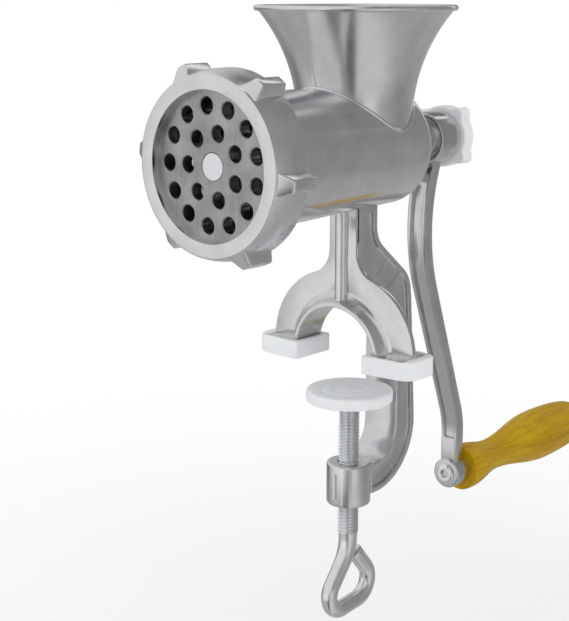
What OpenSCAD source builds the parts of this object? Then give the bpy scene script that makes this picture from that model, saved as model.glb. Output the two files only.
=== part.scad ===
// Hand crank meat grinder that clamps to the edge of a table.
// Frame: +Z up, the barrel lies along Y with its outlet at -Y and its crank at +Y.
// The origin is on the axis of the clamp screw, at the height of the table top.

/* [Barrel] */
// Height of the barrel axis above the table top
barrel_h = 78; // [70:1:95]
// Outside radius of the barrel behind the ring nut
barrel_r_front = 23; // [22.5:0.1:24]
// Outside radius of the barrel at its rear end
barrel_r_rear = 21.4; // [21:0.1:22.5]
// Distance from the clamp screw to the rear face of the barrel
barrel_rear = 20.6; // [18:0.2:26]
// Radius of the bore that the auger turns in
bore_r = 18.5; // [17:0.1:19]
// Thickness of the barrel's rear wall
rear_wall = 4; // [3:0.5:6]
// Outside radius of the bearing boss on the rear wall
boss_r = 10.5; // [10:0.1:11]
// Length of the bearing boss behind the barrel
boss_len = 14.4; // [10:0.2:16]

/* [Outlet] */
// Distance from the clamp screw to the front face of the ring nut
outlet_y = 75; // [70:1:90]
// Diameter of the grinding plate
plate_d = 53.5; // [52:0.5:54]
// Thickness of the grinding plate
plate_t = 5; // [4:0.5:6]
// Radius of the holes in the grinding plate
plate_hole_r = 2.7; // [2:0.1:2.8]
// Number of holes in the outer ring of the grinding plate
outer_holes = 13; // [8:1:15]
// Number of holes in the inner ring of the grinding plate
inner_holes = 7; // [4:1:8]
// Radius of the pin that centres the plate on the auger
plate_pin_r = 4.4; // [3.5:0.1:5]
// Outside radius of the ring nut
nut_r = 31; // [30.8:0.1:33]
// Depth of the ring nut from front to rear
nut_depth = 14.3; // [13:0.1:16]
// Radius of the opening in the ring nut
nut_opening_r = 24.5; // [22:0.5:25]
// Thickness of the ring nut's front lip
nut_lip = 3; // [2:0.5:4]
// Number of grip lugs round the ring nut
nut_lugs = 6; // [4:1:8]
// Height of a grip lug above the ring nut
lug_h = 3.4; // [2:0.2:5]

/* [Hopper] */
// Radius of the hopper at its rim
hopper_r = 35.8; // [33:0.2:38]
// Height of the rim above the barrel axis
hopper_h = 50; // [45:1:60]
// Outside radius of the hopper's neck
neck_r = 20.5; // [19.5:0.1:21]
// Height above the barrel axis at which the neck starts to flare
neck_h = 10; // [9:0.5:12]
// Wall of the hopper
hopper_wall = 2.8; // [2:0.2:3.4]
// Distance of the hopper's axis behind the clamp screw
hopper_y = 1.2; // [0:0.2:3]

/* [Auger] */
// Pitch of the auger's flight
auger_pitch = 19; // [15:1:24]
// Radius of the auger's core
auger_core_r = 8; // [7:0.5:10]
// Radial clearance between the flight and the barrel's bore
auger_clear = 0.6; // [0.4:0.1:1]
// Radius of the journal that turns in the rear bush
journal_r = 6.5; // [6:0.1:7]
// Side of the square on the auger's rear end
drive_square = 9; // [8:0.1:9.1]

/* [Knife] */
// Distance from the knife's axis to the tip of a wing
knife_r = 22.5; // [20:0.5:23.5]
// Width of a knife wing
knife_wing_w = 9; // [7:0.5:11]
// Thickness of a knife wing
knife_wing_t = 3.6; // [2.5:0.1:3.8]

/* [Column and arch] */
// Half the width of the column under the barrel
column_w = 6.1; // [5:0.1:7]
// Front face of the column, ahead of the clamp screw
column_front = 5; // [4:0.5:7]
// Rear face of the column, behind the clamp screw
column_rear = 7.6; // [6:0.2:9]
// Thickness of the arch's front plate
arch_plate = 3.5; // [3:0.5:5]
// Radius of the arch between the two legs
arch_r = 17.7; // [16:0.1:19]
// Height of the arch's centre above the table top
arch_z = 5.7; // [4:0.1:8]
// Outer radius of a leg's shoulder
shoulder_r = 28; // [26:0.5:30]
// Sideways distance of a shoulder's centre from the middle
shoulder_x = 4; // [3:0.5:5]
// Width of the rim that runs round the arch
rim_w = 3.6; // [2.5:0.1:5]
// How far the rim stands out in front of the arch's plate
rim_out = 4.5; // [2:0.5:6]
// Depth of the arch's rim from front to rear
rim_depth = 14; // [12:0.5:15]
// Width of the rib up the middle of the column
rib_w = 3.8; // [2.5:0.1:5]
// How far the rib stands out in front of the column
rib_out = 3; // [1:0.5:4]

/* [Clamp frame] */
// Distance from the clamp screw to the inner face of the spine
throat = 19.5; // [17:0.5:24]
// Depth of the spine from front to rear
spine_depth = 11.4; // [9:0.2:13]
// Half the width of the spine
spine_w = 7.5; // [6.5:0.1:9]
// Height from the table top down to the lower arm
jaw_h = 40.2; // [36:0.2:46]
// Inner radius of the frame's lower corner
corner_r = 12.4; // [9:0.2:14]
// Depth of the shallow panels in the frame's sides
panel_depth = 1.2; // [0.6:0.1:2]
// Width of the border round the side panels
panel_border = 2.4; // [1.6:0.2:3.2]
// Radius of the boss that the clamp screw runs through
screw_boss_r = 8.3; // [7:0.1:9.5]
// Height of the screw boss
screw_boss_h = 16.2; // [14:0.2:18]

/* [Foot pads] */
// Width of a foot pad, across the grinder
pad_w = 20.4; // [20:0.2:22]
// Depth of a foot pad, from front to rear
pad_d = 20.2; // [18:0.2:22]
// Height of a foot pad
pad_h = 6.7; // [5:0.1:8]
// Thickness of the pad under the foot
pad_sole = 2.8; // [2:0.2:4]
// Thickness of the pad's side walls
pad_wall = 2.4; // [1.6:0.2:3]
// Radius of the pad's outer corners
pad_corner = 5; // [2:0.5:6]

/* [Clamp screw] */
// Radius of the screw over its thread
screw_r = 3.9; // [3.4:0.1:5]
// Length of the thread
thread_len = 52; // [50:1:60]
// Radius of the rod that the eye is bent from
rod_r = 3.1; // [2.5:0.1:3.3]
// Gap between the foot pads and the clamp disc
clamp_gap = 10.9; // [2:0.1:20]
// Radius of the clamp disc
disc_r = 16.1; // [13:0.1:17.5]
// Thickness of the clamp disc
disc_t = 4.4; // [4:0.1:6]

/* [Crank] */
// Distance from the barrel axis to the handle's axis
crank_len = 139.5; // [120:0.5:150]
// Radius of the crank's hub
hub_r = 10; // [9.5:0.1:12]
// Length of the crank's hub
hub_len = 12.5; // [10:0.5:15]
// Distance from the clamp screw to the front of the crank's hub
hub_y = 42.1; // [41.5:0.1:48]
// Width of the crank arm at the hub
arm_w_top = 8.8; // [8:0.1:11]
// Width of the crank arm at the eye
arm_w_low = 7.3; // [6:0.1:8]
// Thickness of the crank arm
arm_t = 5.2; // [4:0.1:6]
// Slant of the arm's straight stretch away from the table
arm_slant = 20.5; // [16:0.5:24]
// Radius of the crank's eye
eye_r = 6.2; // [6:0.1:8]
// Length of the crank's eye
eye_len = 8; // [6:0.5:10]

/* [Knob] */
// Radius of the knob's disc
knob_r = 11.3; // [10:0.1:13]
// Reach of the knob's lobes from its axis
knob_lobe = 14; // [13:0.1:16]
// Thickness of the knob
knob_t = 6; // [5:0.2:8]

/* [Handle] */
// Length of the wooden grip
grip_len = 90; // [75:1:110]
// Radius of the grip at its belly
grip_r = 11; // [10:0.2:13]
// Radius of the grip's collar beside the crank
collar_r = 9.4; // [8:0.1:11]
// Radius of the grip's neck
grip_neck_r = 6.6; // [6:0.1:8]
// Radius of the axle that the grip turns on
axle_r = 3; // [2.5:0.1:3.5]

/* [Hidden] */
$fn = 96;
// Shared clearances
run_clear = 0.08;          // radial clearance of a turning shaft
slip_clear = 0.25;         // clearance of a piece that lifts out
seat_gap = 0.1;            // gap between faces that only meet
eps = 0.01;
joint = 0.05;              // overlap of pieces that run into each other
step = 0.02;               // a straight is this much thinner than the bend it runs into

// Places along the barrel, as Y
nut_front = -outlet_y;
nut_rear = nut_front + nut_depth;
plate_front = nut_front + nut_lip;
plate_rear = plate_front + plate_t;
bore_rear = barrel_rear - rear_wall;
boss_rear = barrel_rear + boss_len;

// Outlet end of the casting
seat_r = plate_d / 2 + slip_clear;
thread_r = seat_r + 1.9;
thread_front = plate_front + 0.4;
thread_rear = nut_rear - 0.3;
chamber_r = nut_opening_r - slip_clear;
chamber_rear = plate_rear + 4.4;
cone_rear = chamber_rear + 3.1;
key_r = 1.6;
key_z = barrel_h + seat_r - 1.2;
key_root = 1.5;            // how deep the key pin is set behind the plate

// Auger and knife
flight_r = bore_r - auger_clear;
auger_front = cone_rear + 0.6;
washer_t = 1.5;
washer_r = journal_r + 4;
auger_rear = bore_rear - washer_t - seat_gap;
flight_root = 110;         // angle that the flight takes up at the core
flight_tip = 46;           // and at its edge
knife_square = 2 * plate_pin_r + 0.4;
knife_hub_r = 9;
pin_set_back = 0.2;        // the pin ends this far behind the plate's front face
knife_rear = auger_front - seat_gap;
stud_root = 14;
bush_wall = 1.7;
bush_flange_r = 9.2;
bush_flange_t = 1.6;
hub_nose_r = 8;
nose_gap = 0.3;            // between the bush's flange and the crank's hub
hub_nose_front = boss_rear + bush_flange_t + nose_gap;
journal_rear = hub_nose_front - seat_gap;
square_set_back = 0.8;     // the square ends this far inside the hub
hub_rear = hub_y + hub_len;
knob_thread_r = 3;
knob_thread_len = 12;
knob_skin = 1.5;           // plastic left over the end of the stud

// Hopper's flare: an arc that leaves the neck upright and ends at the rim
flare_out = hopper_r - neck_r;
flare_up = hopper_h - neck_h;
flare_angle = 2 * atan(flare_out / flare_up);
flare_r = flare_up / sin(flare_angle);
lip_r = 1.1;
ridge_w = 1.2;             // ridge that the mould's joint leaves on the casting
ridge_h = 0.4;

// Clamp frame, as points of its side view (Y, Z)
outer_corner_r = corner_r + spine_depth;
corner_y = throat - corner_r;
corner_z = -jaw_h + corner_r;
lean = 3.4;                // the spine leans this much forward at its top
s_angle = 50;
s_r = 11;
s_top_z = 50;
s_low_y = throat + spine_depth - lean;
s_run = (s_low_y - column_rear - 2 * s_r * (1 - cos(s_angle))) / sin(s_angle);
s_low_z = s_top_z - 2 * s_r * sin(s_angle) - s_run * cos(s_angle);
arch_top = arch_z + arch_r;
crown_rear = -column_front - rim_out + rim_depth;
crown_r = throat - crown_rear;
boss_top = -jaw_h + 1;
panel_y0 = -column_front + arch_plate + 1;
frame_taper_z = 45;
frame_full_z = 20;

// Feet and pads
foot_in = arch_r - 0.4;
foot_w = pad_w - 2 * pad_wall - 2 * seat_gap;
foot_x = foot_in + foot_w / 2;
foot_y = (crown_rear - column_front - rim_out) / 2 - 0.5;
foot_d = pad_d - 2 * pad_wall - 2 * seat_gap;
foot_top = pad_h + 1.3;

// Clamp screw and its eye, as points (Y, Z)
disc_top = -clamp_gap;
disc_low = disc_top - disc_t;
screw_top = disc_low - 0.1;
thread_low = screw_top - thread_len;
tip_r = 2.6;
tip_head_r = 4;
tip_head_t = 1;
plate_in_r = 12.5;
plate_in_t = 1.6;
rivet_low = disc_low + plate_in_t + 0.1;
swing_z = thread_low - 1.8;
swing_r = 16;
swing_angle = 39;
side_len = 9.4;
eye_bend_r = 6.65;
base_slope = 4.5;          // the eye's base rises this much towards its corner
base_len = 9.5;
corner_bend_r = 7.4;
tip_slope = 130;
tip_len = 10.9;            // ends just short of the shank

// Crank arm's side view (Y, Z)
bend_y = hub_y - 2.1;      // front face of the arm where it bends closest to the body
bend_z = barrel_h - 34;
bend_r = 72;
low_r = 30;
low_straight = 17;         // the arm's upright stretch above the eye's axis
bend_end_y = bend_y + bend_r * (1 - cos(arm_slant));
bend_end_z = bend_z - bend_r * sin(arm_slant);
handle_z = barrel_h - crank_len;
low_start_z = handle_z + low_straight + low_r * sin(arm_slant);
low_start_y = bend_end_y + (bend_end_z - low_start_z) * tan(arm_slant);
arm_low_y = low_start_y + low_r * (1 - cos(arm_slant));
eye_y = arm_low_y - 1.4;
groove_depth = 1.5;
groove_w = 4.6;
groove_low = handle_z + eye_r + 9;
groove_top = barrel_h - hub_r - 7;

// Handle
axle_washer_t = 1;
grip_front = eye_y + eye_len + axle_washer_t + 2 * seat_gap;
grip_rear = grip_front + grip_len;
head_t = 2;
head_recess = 4;
axle_bore_r = 1.7;         // the axle's front end is tubular
rivet_t = 1.3;
rivet_w = 1.5;

// ---------------------------------------------------------------- helpers

// Turns a shape drawn along +Z so that it lies along +Y on the barrel's axis
module along_y(y = 0, x = 0, z = barrel_h) {
    translate([x, y, z]) rotate([-90, 0, 0]) children();
}

// Cylinder along Y between two places
module y_cyl(r, y0, y1, z = barrel_h) {
    along_y(y0, 0, z) cylinder(r = r, h = y1 - y0);
}

// Solid of half-width w made from a side view drawn in (Y, Z)
module side_extrude(w) {
    translate([-w, 0, 0]) rotate([90, 0, 90]) linear_extrude(2 * w) children();
}

// Solid between y0 and y1 made from a front view drawn in (X, Z)
module front_extrude(y0, y1) {
    translate([0, y1, 0]) rotate([90, 0, 0]) linear_extrude(y1 - y0) children();
}

// Wedge of a circle between two angles, for cutting arcs
module wedge(r, a0, a1) {
    am = (a0 + a1) / 2;
    far = r / cos((a1 - a0) / 4);
    polygon([[0, 0], [r * cos(a0), r * sin(a0)],
        [far * cos((a0 + am) / 2), far * sin((a0 + am) / 2)], [far * cos(am), far * sin(am)],
        [far * cos((a1 + am) / 2), far * sin((a1 + am) / 2)], [r * cos(a1), r * sin(a1)]]);
}

// Part of a flat ring between two angles
module ring_arc(c, r0, r1, a0, a1) {
    translate(c) intersection() {
        difference() {
            circle(r = r1);
            circle(r = r0);
        }
        wedge(r1 * 1.2, a0, a1);
    }
}

// ---------------------------------------------------------------- casting

// Side view of the clamp frame, drawn in from its edge by inset
module frame_side(inset = 0) {
    low_z = -jaw_h - spine_depth + inset + step;
    // lower arm
    translate([0, low_z]) square([corner_y + joint, spine_depth - 2 * (inset + step)]);
    // lower corner
    ring_arc([corner_y, corner_z], corner_r + inset, outer_corner_r - inset, -90, 0);
    // spine
    in = inset + step;
    polygon([[throat + in, corner_z - joint], [throat + spine_depth - in, corner_z - joint],
        [s_low_y - in, s_low_z], [throat + in, arch_top - crown_r]]);
}

// Side view of the shoulder between the column and the spine
module shoulder_side(inset = 0) {
    front = inset > 0 ? panel_y0 : -column_front;
    c_top = [column_rear + s_r, s_top_z];
    c_low = [s_low_y - s_r, s_low_z];
    n = [cos(s_angle), sin(s_angle)];
    difference() {
        union() {
            polygon([[front, barrel_h - 12 - inset * 3], [column_rear - inset, barrel_h - 12 - inset * 3],
                [column_rear - inset, s_top_z], c_top - n * (s_r + inset), c_low + n * (s_r - inset),
                [s_low_y - inset, s_low_z], [s_low_y - inset, arch_top - crown_r],
                [crown_rear, arch_top - crown_r], [crown_rear, arch_top + inset],
                [front, arch_top + inset]]);
            translate(c_low) circle(r = s_r - inset + step);
        }
        translate(c_top) circle(r = s_r + inset + step);
        translate([crown_rear, arch_top - crown_r]) circle(r = crown_r + inset + step);
    }
}

// Front view that narrows the frame from the spine's width to the column's
module frame_front(w_low, w_top) {
    low = -jaw_h - spine_depth - 1;
    top = barrel_h;
    polygon([[-w_low, low], [w_low, low], [w_low, frame_full_z], [w_top, frame_taper_z], [w_top, top],
        [-w_top, top], [-w_top, frame_taper_z], [-w_low, frame_full_z]]);
}

module clamp_frame() {
    y0 = -column_front;
    y1 = throat + spine_depth + 1;
    difference() {
        intersection() {
            side_extrude(spine_w) union() {
                frame_side();
                shoulder_side();
            }
            front_extrude(y0 - 1, y1) frame_front(spine_w, column_w);
        }
        // shallow panels in both sides
        difference() {
            side_extrude(spine_w + 1) union() {
                difference() {
                    frame_side(panel_border);
                    translate([0, -jaw_h - spine_depth]) square([screw_boss_r + 1.5, spine_depth]);
                }
                shoulder_side(panel_border);
            }
            front_extrude(y0 - 2, y1 + 1) frame_front(spine_w - panel_depth, column_w - panel_depth);
        }
    }
}

// Front view of the column and its two legs
module arch_front() {
    fillet_r = 10;
    reach = shoulder_r + fillet_r;
    fillet_x = column_w + fillet_r;
    fillet_z = arch_z + sqrt(pow(reach, 2) - pow(fillet_x - shoulder_x, 2));
    touch = [shoulder_x, arch_z] + [fillet_x - shoulder_x, fillet_z - arch_z] * shoulder_r / reach;
    difference() {
        union() {
            for (s = [-1, 1]) scale([s, 1]) {
                intersection() {
                    translate([shoulder_x, arch_z]) circle(r = shoulder_r);
                    square([shoulder_x + shoulder_r, arch_z + shoulder_r]);
                }
                difference() {
                    polygon([[0, arch_z + arch_r], touch, [column_w, fillet_z],
                        [column_w, barrel_h - 12], [0, barrel_h - 12]]);
                    translate([fillet_x, fillet_z]) circle(r = fillet_r + step);
                }
            }
        }
        translate([0, arch_z]) circle(r = arch_r);
        translate([-arch_r, -1]) square([2 * arch_r, arch_z + 1]);
        translate([-50, -1]) square([100, pad_sole + 1 + seat_gap]);
    }
}

// Front view of the rim round the arch
module rim_front() {
    difference() {
        union() {
            translate([0, arch_z]) circle(r = arch_r + rim_w);
            translate([-arch_r - rim_w, pad_sole + seat_gap]) square([2 * (arch_r + rim_w), arch_z]);
        }
        translate([0, arch_z]) circle(r = arch_r);
        translate([-arch_r, -1]) square([2 * arch_r, arch_z + 1]);
        translate([-50, -50]) square([100, 50 + pad_sole + seat_gap]);
    }
}

module arch() {
    y0 = -column_front;
    front_extrude(y0, y0 + arch_plate) arch_front();
    front_extrude(y0 - rim_out, y0 - rim_out + rim_depth) rim_front();
    // rib up the middle of the column
    translate([-rib_w / 2, y0 - rib_out, arch_top + 1])
        cube([rib_w, rib_out + 1, barrel_h - 20 - arch_top]);
    // feet that stand in the pads
    for (s = [-1, 1])
        translate([s * foot_x - foot_w / 2, foot_y - foot_d / 2, pad_sole + seat_gap])
            cube([foot_w, foot_d, foot_top - pad_sole - seat_gap]);
}

// Outside of the barrel, with the threaded collar at its front
module barrel_outside() {
    edge = 1.6;
    along_y() rotate_extrude() polygon([[0, thread_front], [thread_r - 0.8, thread_front],
        [thread_r, thread_front + 0.8], [thread_r, thread_rear], [barrel_r_front, thread_rear],
        [barrel_r_rear, barrel_rear - edge], [barrel_r_rear - edge, barrel_rear],
        [boss_r, barrel_rear], [boss_r, boss_rear - 0.6], [boss_r - 0.6, boss_rear], [0, boss_rear]]);
}

// Everything that is open inside the barrel
module barrel_inside() {
    bush_r = journal_r + run_clear + bush_wall;
    along_y() rotate_extrude() polygon([[0, thread_front - 1], [seat_r, thread_front - 1],
        [seat_r, plate_rear], [chamber_r, plate_rear], [chamber_r, chamber_rear], [bore_r, cone_rear],
        [bore_r, bore_rear], [bush_r, bore_rear], [bush_r, boss_rear + 1], [0, boss_rear + 1]]);
}

// Round solid that flares as the hopper does, drawn in from its outside by inset
module flare(inset, top) {
    translate([0, hopper_y, barrel_h]) rotate_extrude() difference() {
        square([hopper_r + 1, top]);
        translate([neck_r + flare_r, neck_h]) circle(r = flare_r + inset, $fn = 240);
        translate([neck_r - inset, -1]) square([hopper_r, neck_h + 1]);
    }
}

module hopper() {
    flare(0, hopper_h - lip_r);
    // beaded lip
    translate([0, hopper_y, barrel_h + hopper_h - lip_r]) rotate_extrude()
        translate([hopper_r - lip_r, 0]) circle(r = lip_r, $fn = 32);
}

// Ridge that the mould's joint leaves up the front of the hopper and of the screw boss
module parting_ridge() {
    intersection() {
        flare(-ridge_h, hopper_h - lip_r);
        translate([-ridge_w / 2, hopper_y - 2 * hopper_r, barrel_h])
            cube([ridge_w, 2 * hopper_r, hopper_h]);
    }
    translate([-ridge_w / 2, -screw_boss_r - ridge_h, boss_top - 0.8 * screw_boss_h])
        cube([ridge_w, 2, 0.6 * screw_boss_h]);
}

module screw_boss() {
    edge = 1.4;
    translate([0, 0, boss_top - screw_boss_h]) rotate_extrude() polygon([[0, 0],
        [screw_boss_r - edge, 0], [screw_boss_r, edge], [screw_boss_r, screw_boss_h - edge / 2],
        [screw_boss_r - edge / 2, screw_boss_h], [0, screw_boss_h]]);
}

module grinder_body() {
    color([0.72, 0.73, 0.75]) difference() {
        union() {
            barrel_outside();
            hopper();
            clamp_frame();
            arch();
            screw_boss();
            parting_ridge();
        }
        barrel_inside();
        flare(hopper_wall, hopper_h + 1);
        // thread of the clamp screw
        translate([0, 0, boss_top - screw_boss_h - 1])
            cylinder(r = screw_r + run_clear, h = screw_boss_h + 2);
        key_pin_hole();
    }
}

// ---------------------------------------------------------------- feet

// Plan of a pad that is square inside and round at its outer corners
module pad_plan(w, d, r) {
    translate([-w / 2, -d / 2]) square([w - r, d]);
    translate([-w / 2, -d / 2 + r]) square([w, d - 2 * r]);
    for (s = [-1, 1])
        translate([w / 2 - r, s * (d / 2 - r)]) circle(r = r, $fn = 48);
}

module foot_pad(s) {
    color([0.93, 0.93, 0.95]) translate([s * foot_x, foot_y, 0]) scale([s, 1, 1]) difference() {
        linear_extrude(pad_h) pad_plan(pad_w, pad_d, pad_corner);
        translate([-foot_w / 2 - seat_gap, -foot_d / 2 - seat_gap, pad_sole])
            cube([foot_w + 2 * seat_gap, foot_d + 2 * seat_gap, pad_h]);
    }
}

module foot_pad_left() { foot_pad(-1); }
module foot_pad_right() { foot_pad(1); }

// ---------------------------------------------------------------- outlet

module key_pin_hole() {
    y_cyl(key_r, plate_front, plate_rear + key_root, key_z);
}

module plate_key_pin() {
    color([0.6, 0.6, 0.62]) y_cyl(key_r, plate_front + 1, plate_rear + key_root, key_z);
}

module ring_nut() {
    chamfer = 1.6;
    lug_w = 7;
    lug_top = 4;
    lug_turn = 6;
    lug_slope = 3.4;
    color([0.75, 0.76, 0.78]) difference() {
        union() {
            along_y() rotate_extrude() polygon([[0, nut_front], [nut_r - chamfer, nut_front],
                [nut_r - chamfer / 2, nut_front + chamfer / 2], [nut_r, nut_front + 3 * chamfer],
                [nut_r, nut_rear], [0, nut_rear]]);
            for (i = [0 : nut_lugs - 1])
                along_y() rotate(360 / nut_lugs * i + lug_turn) intersection() {
                    translate([0, 0, nut_front]) linear_extrude(nut_depth) polygon([
                        [nut_r - 2, -lug_w / 2 - 0.6], [nut_r + lug_h, -lug_top / 2],
                        [nut_r + lug_h, lug_top / 2], [nut_r - 2, lug_w / 2 + 0.6]]);
                    rotate_extrude() polygon([[0, nut_front], [nut_r - chamfer, nut_front + 0.5],
                        [nut_r + lug_h, nut_front + lug_slope], [nut_r + lug_h + 1, nut_rear], [0, nut_rear]]);
                }
        }
        along_y() rotate_extrude() polygon([[0, nut_front - 1], [nut_opening_r, nut_front - 1],
            [nut_opening_r, plate_front], [thread_r + run_clear, plate_front],
            [thread_r + run_clear, nut_rear + 1], [0, nut_rear + 1]]);
    }
}

module grinding_plate() {
    outer_pitch_r = 19.5;
    inner_pitch_r = 10.9;
    color([0.55, 0.56, 0.58]) difference() {
        y_cyl(plate_d / 2, plate_front, plate_rear);
        y_cyl(plate_pin_r + run_clear, plate_front - 1, plate_rear + 1);
        for (ring = [[outer_holes, outer_pitch_r], [inner_holes, inner_pitch_r]])
            for (i = [0 : ring[0] - 1])
                along_y(plate_front - 1) rotate(360 / ring[0] * (i + 0.5))
                    translate([ring[1], 0]) cylinder(r = plate_hole_r, h = plate_t + 2, $fn = 32);
        // notch for the key pin
        y_cyl(key_r + slip_clear, plate_front - 1, plate_rear + 1, key_z);
        translate([-key_r - slip_clear, plate_front - 1, key_z])
            cube([2 * (key_r + slip_clear), plate_t + 2, 4]);
    }
}

// ---------------------------------------------------------------- auger and knife

module knife() {
    color([0.62, 0.63, 0.65]) difference() {
        union() {
            y_cyl(knife_hub_r, plate_rear, knife_rear);
            for (i = [0 : 3]) along_y(plate_rear) rotate(90 * i + 20)
                linear_extrude(knife_wing_t) polygon([[0, -knife_wing_w / 2], [knife_r, -knife_wing_w / 2 + 3],
                    [knife_r, knife_wing_w / 2], [0, knife_wing_w / 2]]);
        }
        along_y(plate_rear - 1) translate([-knife_square / 2, -knife_square / 2])
            cube([knife_square, knife_square, knife_rear - plate_rear + 2]);
    }
}

// Cross-section of the auger: a round core with one flight that wraps round it
function auger_point(a) =
    let (d = abs(a > 180 ? a - 360 : a),
         t = (flight_root / 2 - d) / (flight_root / 2 - flight_tip / 2),
         r = auger_core_r + (flight_r - auger_core_r) * min(1, max(0, t)))
    [r * cos(a), r * sin(a)];

module auger() {
    turns = (auger_rear - auger_front) / auger_pitch;
    color([0.70, 0.71, 0.73]) difference() {
        union() {
            along_y(auger_front) linear_extrude(auger_rear - auger_front, twist = -360 * turns,
                slices = round(turns * 14), $fn = 24) polygon([for (a = [0 : 15 : 359]) auger_point(a)]);
            y_cyl(journal_r, auger_rear - 1, journal_rear);
            along_y(journal_rear - 1) translate([-drive_square / 2, -drive_square / 2])
                cube([drive_square, drive_square, hub_rear - square_set_back - journal_rear + 1]);
        }
        // tapped hole for the knob's stud
        y_cyl(knob_thread_r + run_clear, hub_rear - knob_thread_len - 2, hub_rear + 1);
        // socket of the front stud
        y_cyl(plate_pin_r, auger_front - 1, auger_front + stud_root);
    }
}

module auger_stud() {
    side = knife_square - 2 * seat_gap;
    color([0.80, 0.82, 0.86]) {
        y_cyl(plate_pin_r, plate_front + pin_set_back, auger_front + stud_root - seat_gap);
        intersection() {
            along_y(plate_rear + seat_gap) translate([-side / 2, -side / 2])
                cube([side, side, auger_front - plate_rear - 2 * seat_gap]);
            y_cyl(0.65 * side, plate_rear, auger_front);
        }
    }
}

module rear_bush() {
    r = journal_r + run_clear;
    color([0.72, 0.58, 0.36]) difference() {
        union() {
            y_cyl(r + bush_wall, bore_rear, boss_rear + eps);
            y_cyl(bush_flange_r, boss_rear, boss_rear + bush_flange_t);
        }
        y_cyl(r, bore_rear - 1, boss_rear + bush_flange_t + 1);
    }
}

module thrust_washer() {
    color([0.85, 0.85, 0.80]) difference() {
        y_cyl(washer_r, auger_rear + seat_gap, bore_rear);
        y_cyl(journal_r + run_clear, auger_rear - 1, bore_rear + 1);
    }
}

// ---------------------------------------------------------------- crank

// Side view of the arm's band: depth is measured back from its front face
module arm_side(front, back) {
    top_angle = asin((barrel_h - bend_z) / bend_r);
    ring_arc([bend_y + bend_r, bend_z], bend_r - back, bend_r - front, 180 - top_angle, 180 + arm_slant);
    n = [cos(arm_slant), sin(arm_slant)];
    down = [sin(arm_slant), -cos(arm_slant)];
    a = [bend_end_y, bend_end_z] - down * joint;
    b = [low_start_y, low_start_z] + down * joint;
    polygon([a + n * (front + step), a + n * (back - step), b + n * (back - step), b + n * (front + step)]);
    ring_arc([arm_low_y - low_r, handle_z + low_straight], low_r + front, low_r + back, 0, arm_slant);
    translate([arm_low_y + front + step, handle_z])
        square([back - front - 2 * step, low_straight + joint]);
}

// Front view of the arm, which narrows towards the eye
module arm_front() {
    polygon([[-arm_w_low / 2, handle_z], [arm_w_low / 2, handle_z],
        [arm_w_top / 2, barrel_h], [-arm_w_top / 2, barrel_h]]);
}

module crank_arm() {
    far = arm_low_y + 30;
    color([0.74, 0.75, 0.77]) difference() {
        union() {
            intersection() {
                side_extrude(arm_w_top) arm_side(0, arm_t);
                front_extrude(0, far) arm_front();
            }
            y_cyl(hub_r, hub_y, hub_rear);
            y_cyl(hub_nose_r, hub_nose_front, hub_y + eps);
            y_cyl(eye_r, eye_y, eye_y + eye_len, handle_z);
        }
        // long groove in the front face
        side_extrude(groove_w / 2) intersection() {
            arm_side(-1, groove_depth);
            translate([0, groove_low]) square([far, groove_top - groove_low]);
        }
        // socket for the auger's square
        along_y(hub_nose_front - 1) translate([-drive_square / 2 - seat_gap, -drive_square / 2 - seat_gap])
            cube([drive_square + 2 * seat_gap, drive_square + 2 * seat_gap, hub_rear - hub_nose_front + 2]);
        // hole for the handle's axle
        y_cyl(axle_r, eye_y - 1, eye_y + eye_len + 1, handle_z);
    }
}

module crank_knob() {
    lobes = 4;
    lobe_r = 3;
    color([0.92, 0.93, 0.95]) difference() {
        union() {
            along_y(hub_rear) rotate_extrude() polygon([[0, 0], [knob_r, 0], [knob_r, knob_t - 1.5],
                [knob_r - 1.5, knob_t], [0, knob_t]]);
            for (i = [0 : lobes - 1]) along_y(hub_rear) rotate(45 + 360 / lobes * i) {
                translate([knob_lobe - lobe_r, 0]) cylinder(r = lobe_r, h = knob_t - 1, $fn = 32);
                translate([0, -lobe_r]) cube([knob_lobe - lobe_r, 2 * lobe_r, knob_t - 1]);
            }
        }
        y_cyl(knob_thread_r + run_clear, hub_rear - 1, hub_rear + knob_t - knob_skin);
    }
}

module knob_stud() {
    color([0.65, 0.67, 0.70]) y_cyl(knob_thread_r, hub_rear - knob_thread_len, hub_rear + knob_t - knob_skin - seat_gap);
}

// ---------------------------------------------------------------- handle

module handle_axle() {
    color([0.65, 0.66, 0.69]) difference() {
        union() {
            y_cyl(axle_r, eye_y - rivet_t, grip_rear - head_recess, handle_z);
            // rim turned over the front of the eye
            along_y(eye_y, 0, handle_z) rotate_extrude() polygon([[0, -rivet_t], [axle_r + 0.4, -rivet_t],
                [axle_r + rivet_w, -rivet_t / 2], [axle_r + rivet_w, 0], [0, 0]]);
            y_cyl(axle_r + 2.6, grip_rear - head_recess - eps, grip_rear - head_recess + head_t, handle_z);
        }
        y_cyl(axle_bore_r, eye_y - rivet_t - 1, eye_y + eye_len, handle_z);
    }
}

module axle_washer() {
    color([0.65, 0.66, 0.69]) difference() {
        y_cyl(eye_r - 0.4, eye_y + eye_len + seat_gap / 2, eye_y + eye_len + axle_washer_t, handle_z);
        y_cyl(axle_r + run_clear, eye_y, grip_rear, handle_z);
    }
}

module end_washer() {
    color([0.65, 0.66, 0.69]) difference() {
        y_cyl(axle_r + 2.8, grip_rear - head_recess - 1, grip_rear - head_recess - seat_gap, handle_z);
        y_cyl(axle_r + run_clear, grip_rear - head_recess - 2, grip_rear, handle_z);
    }
}

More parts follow.
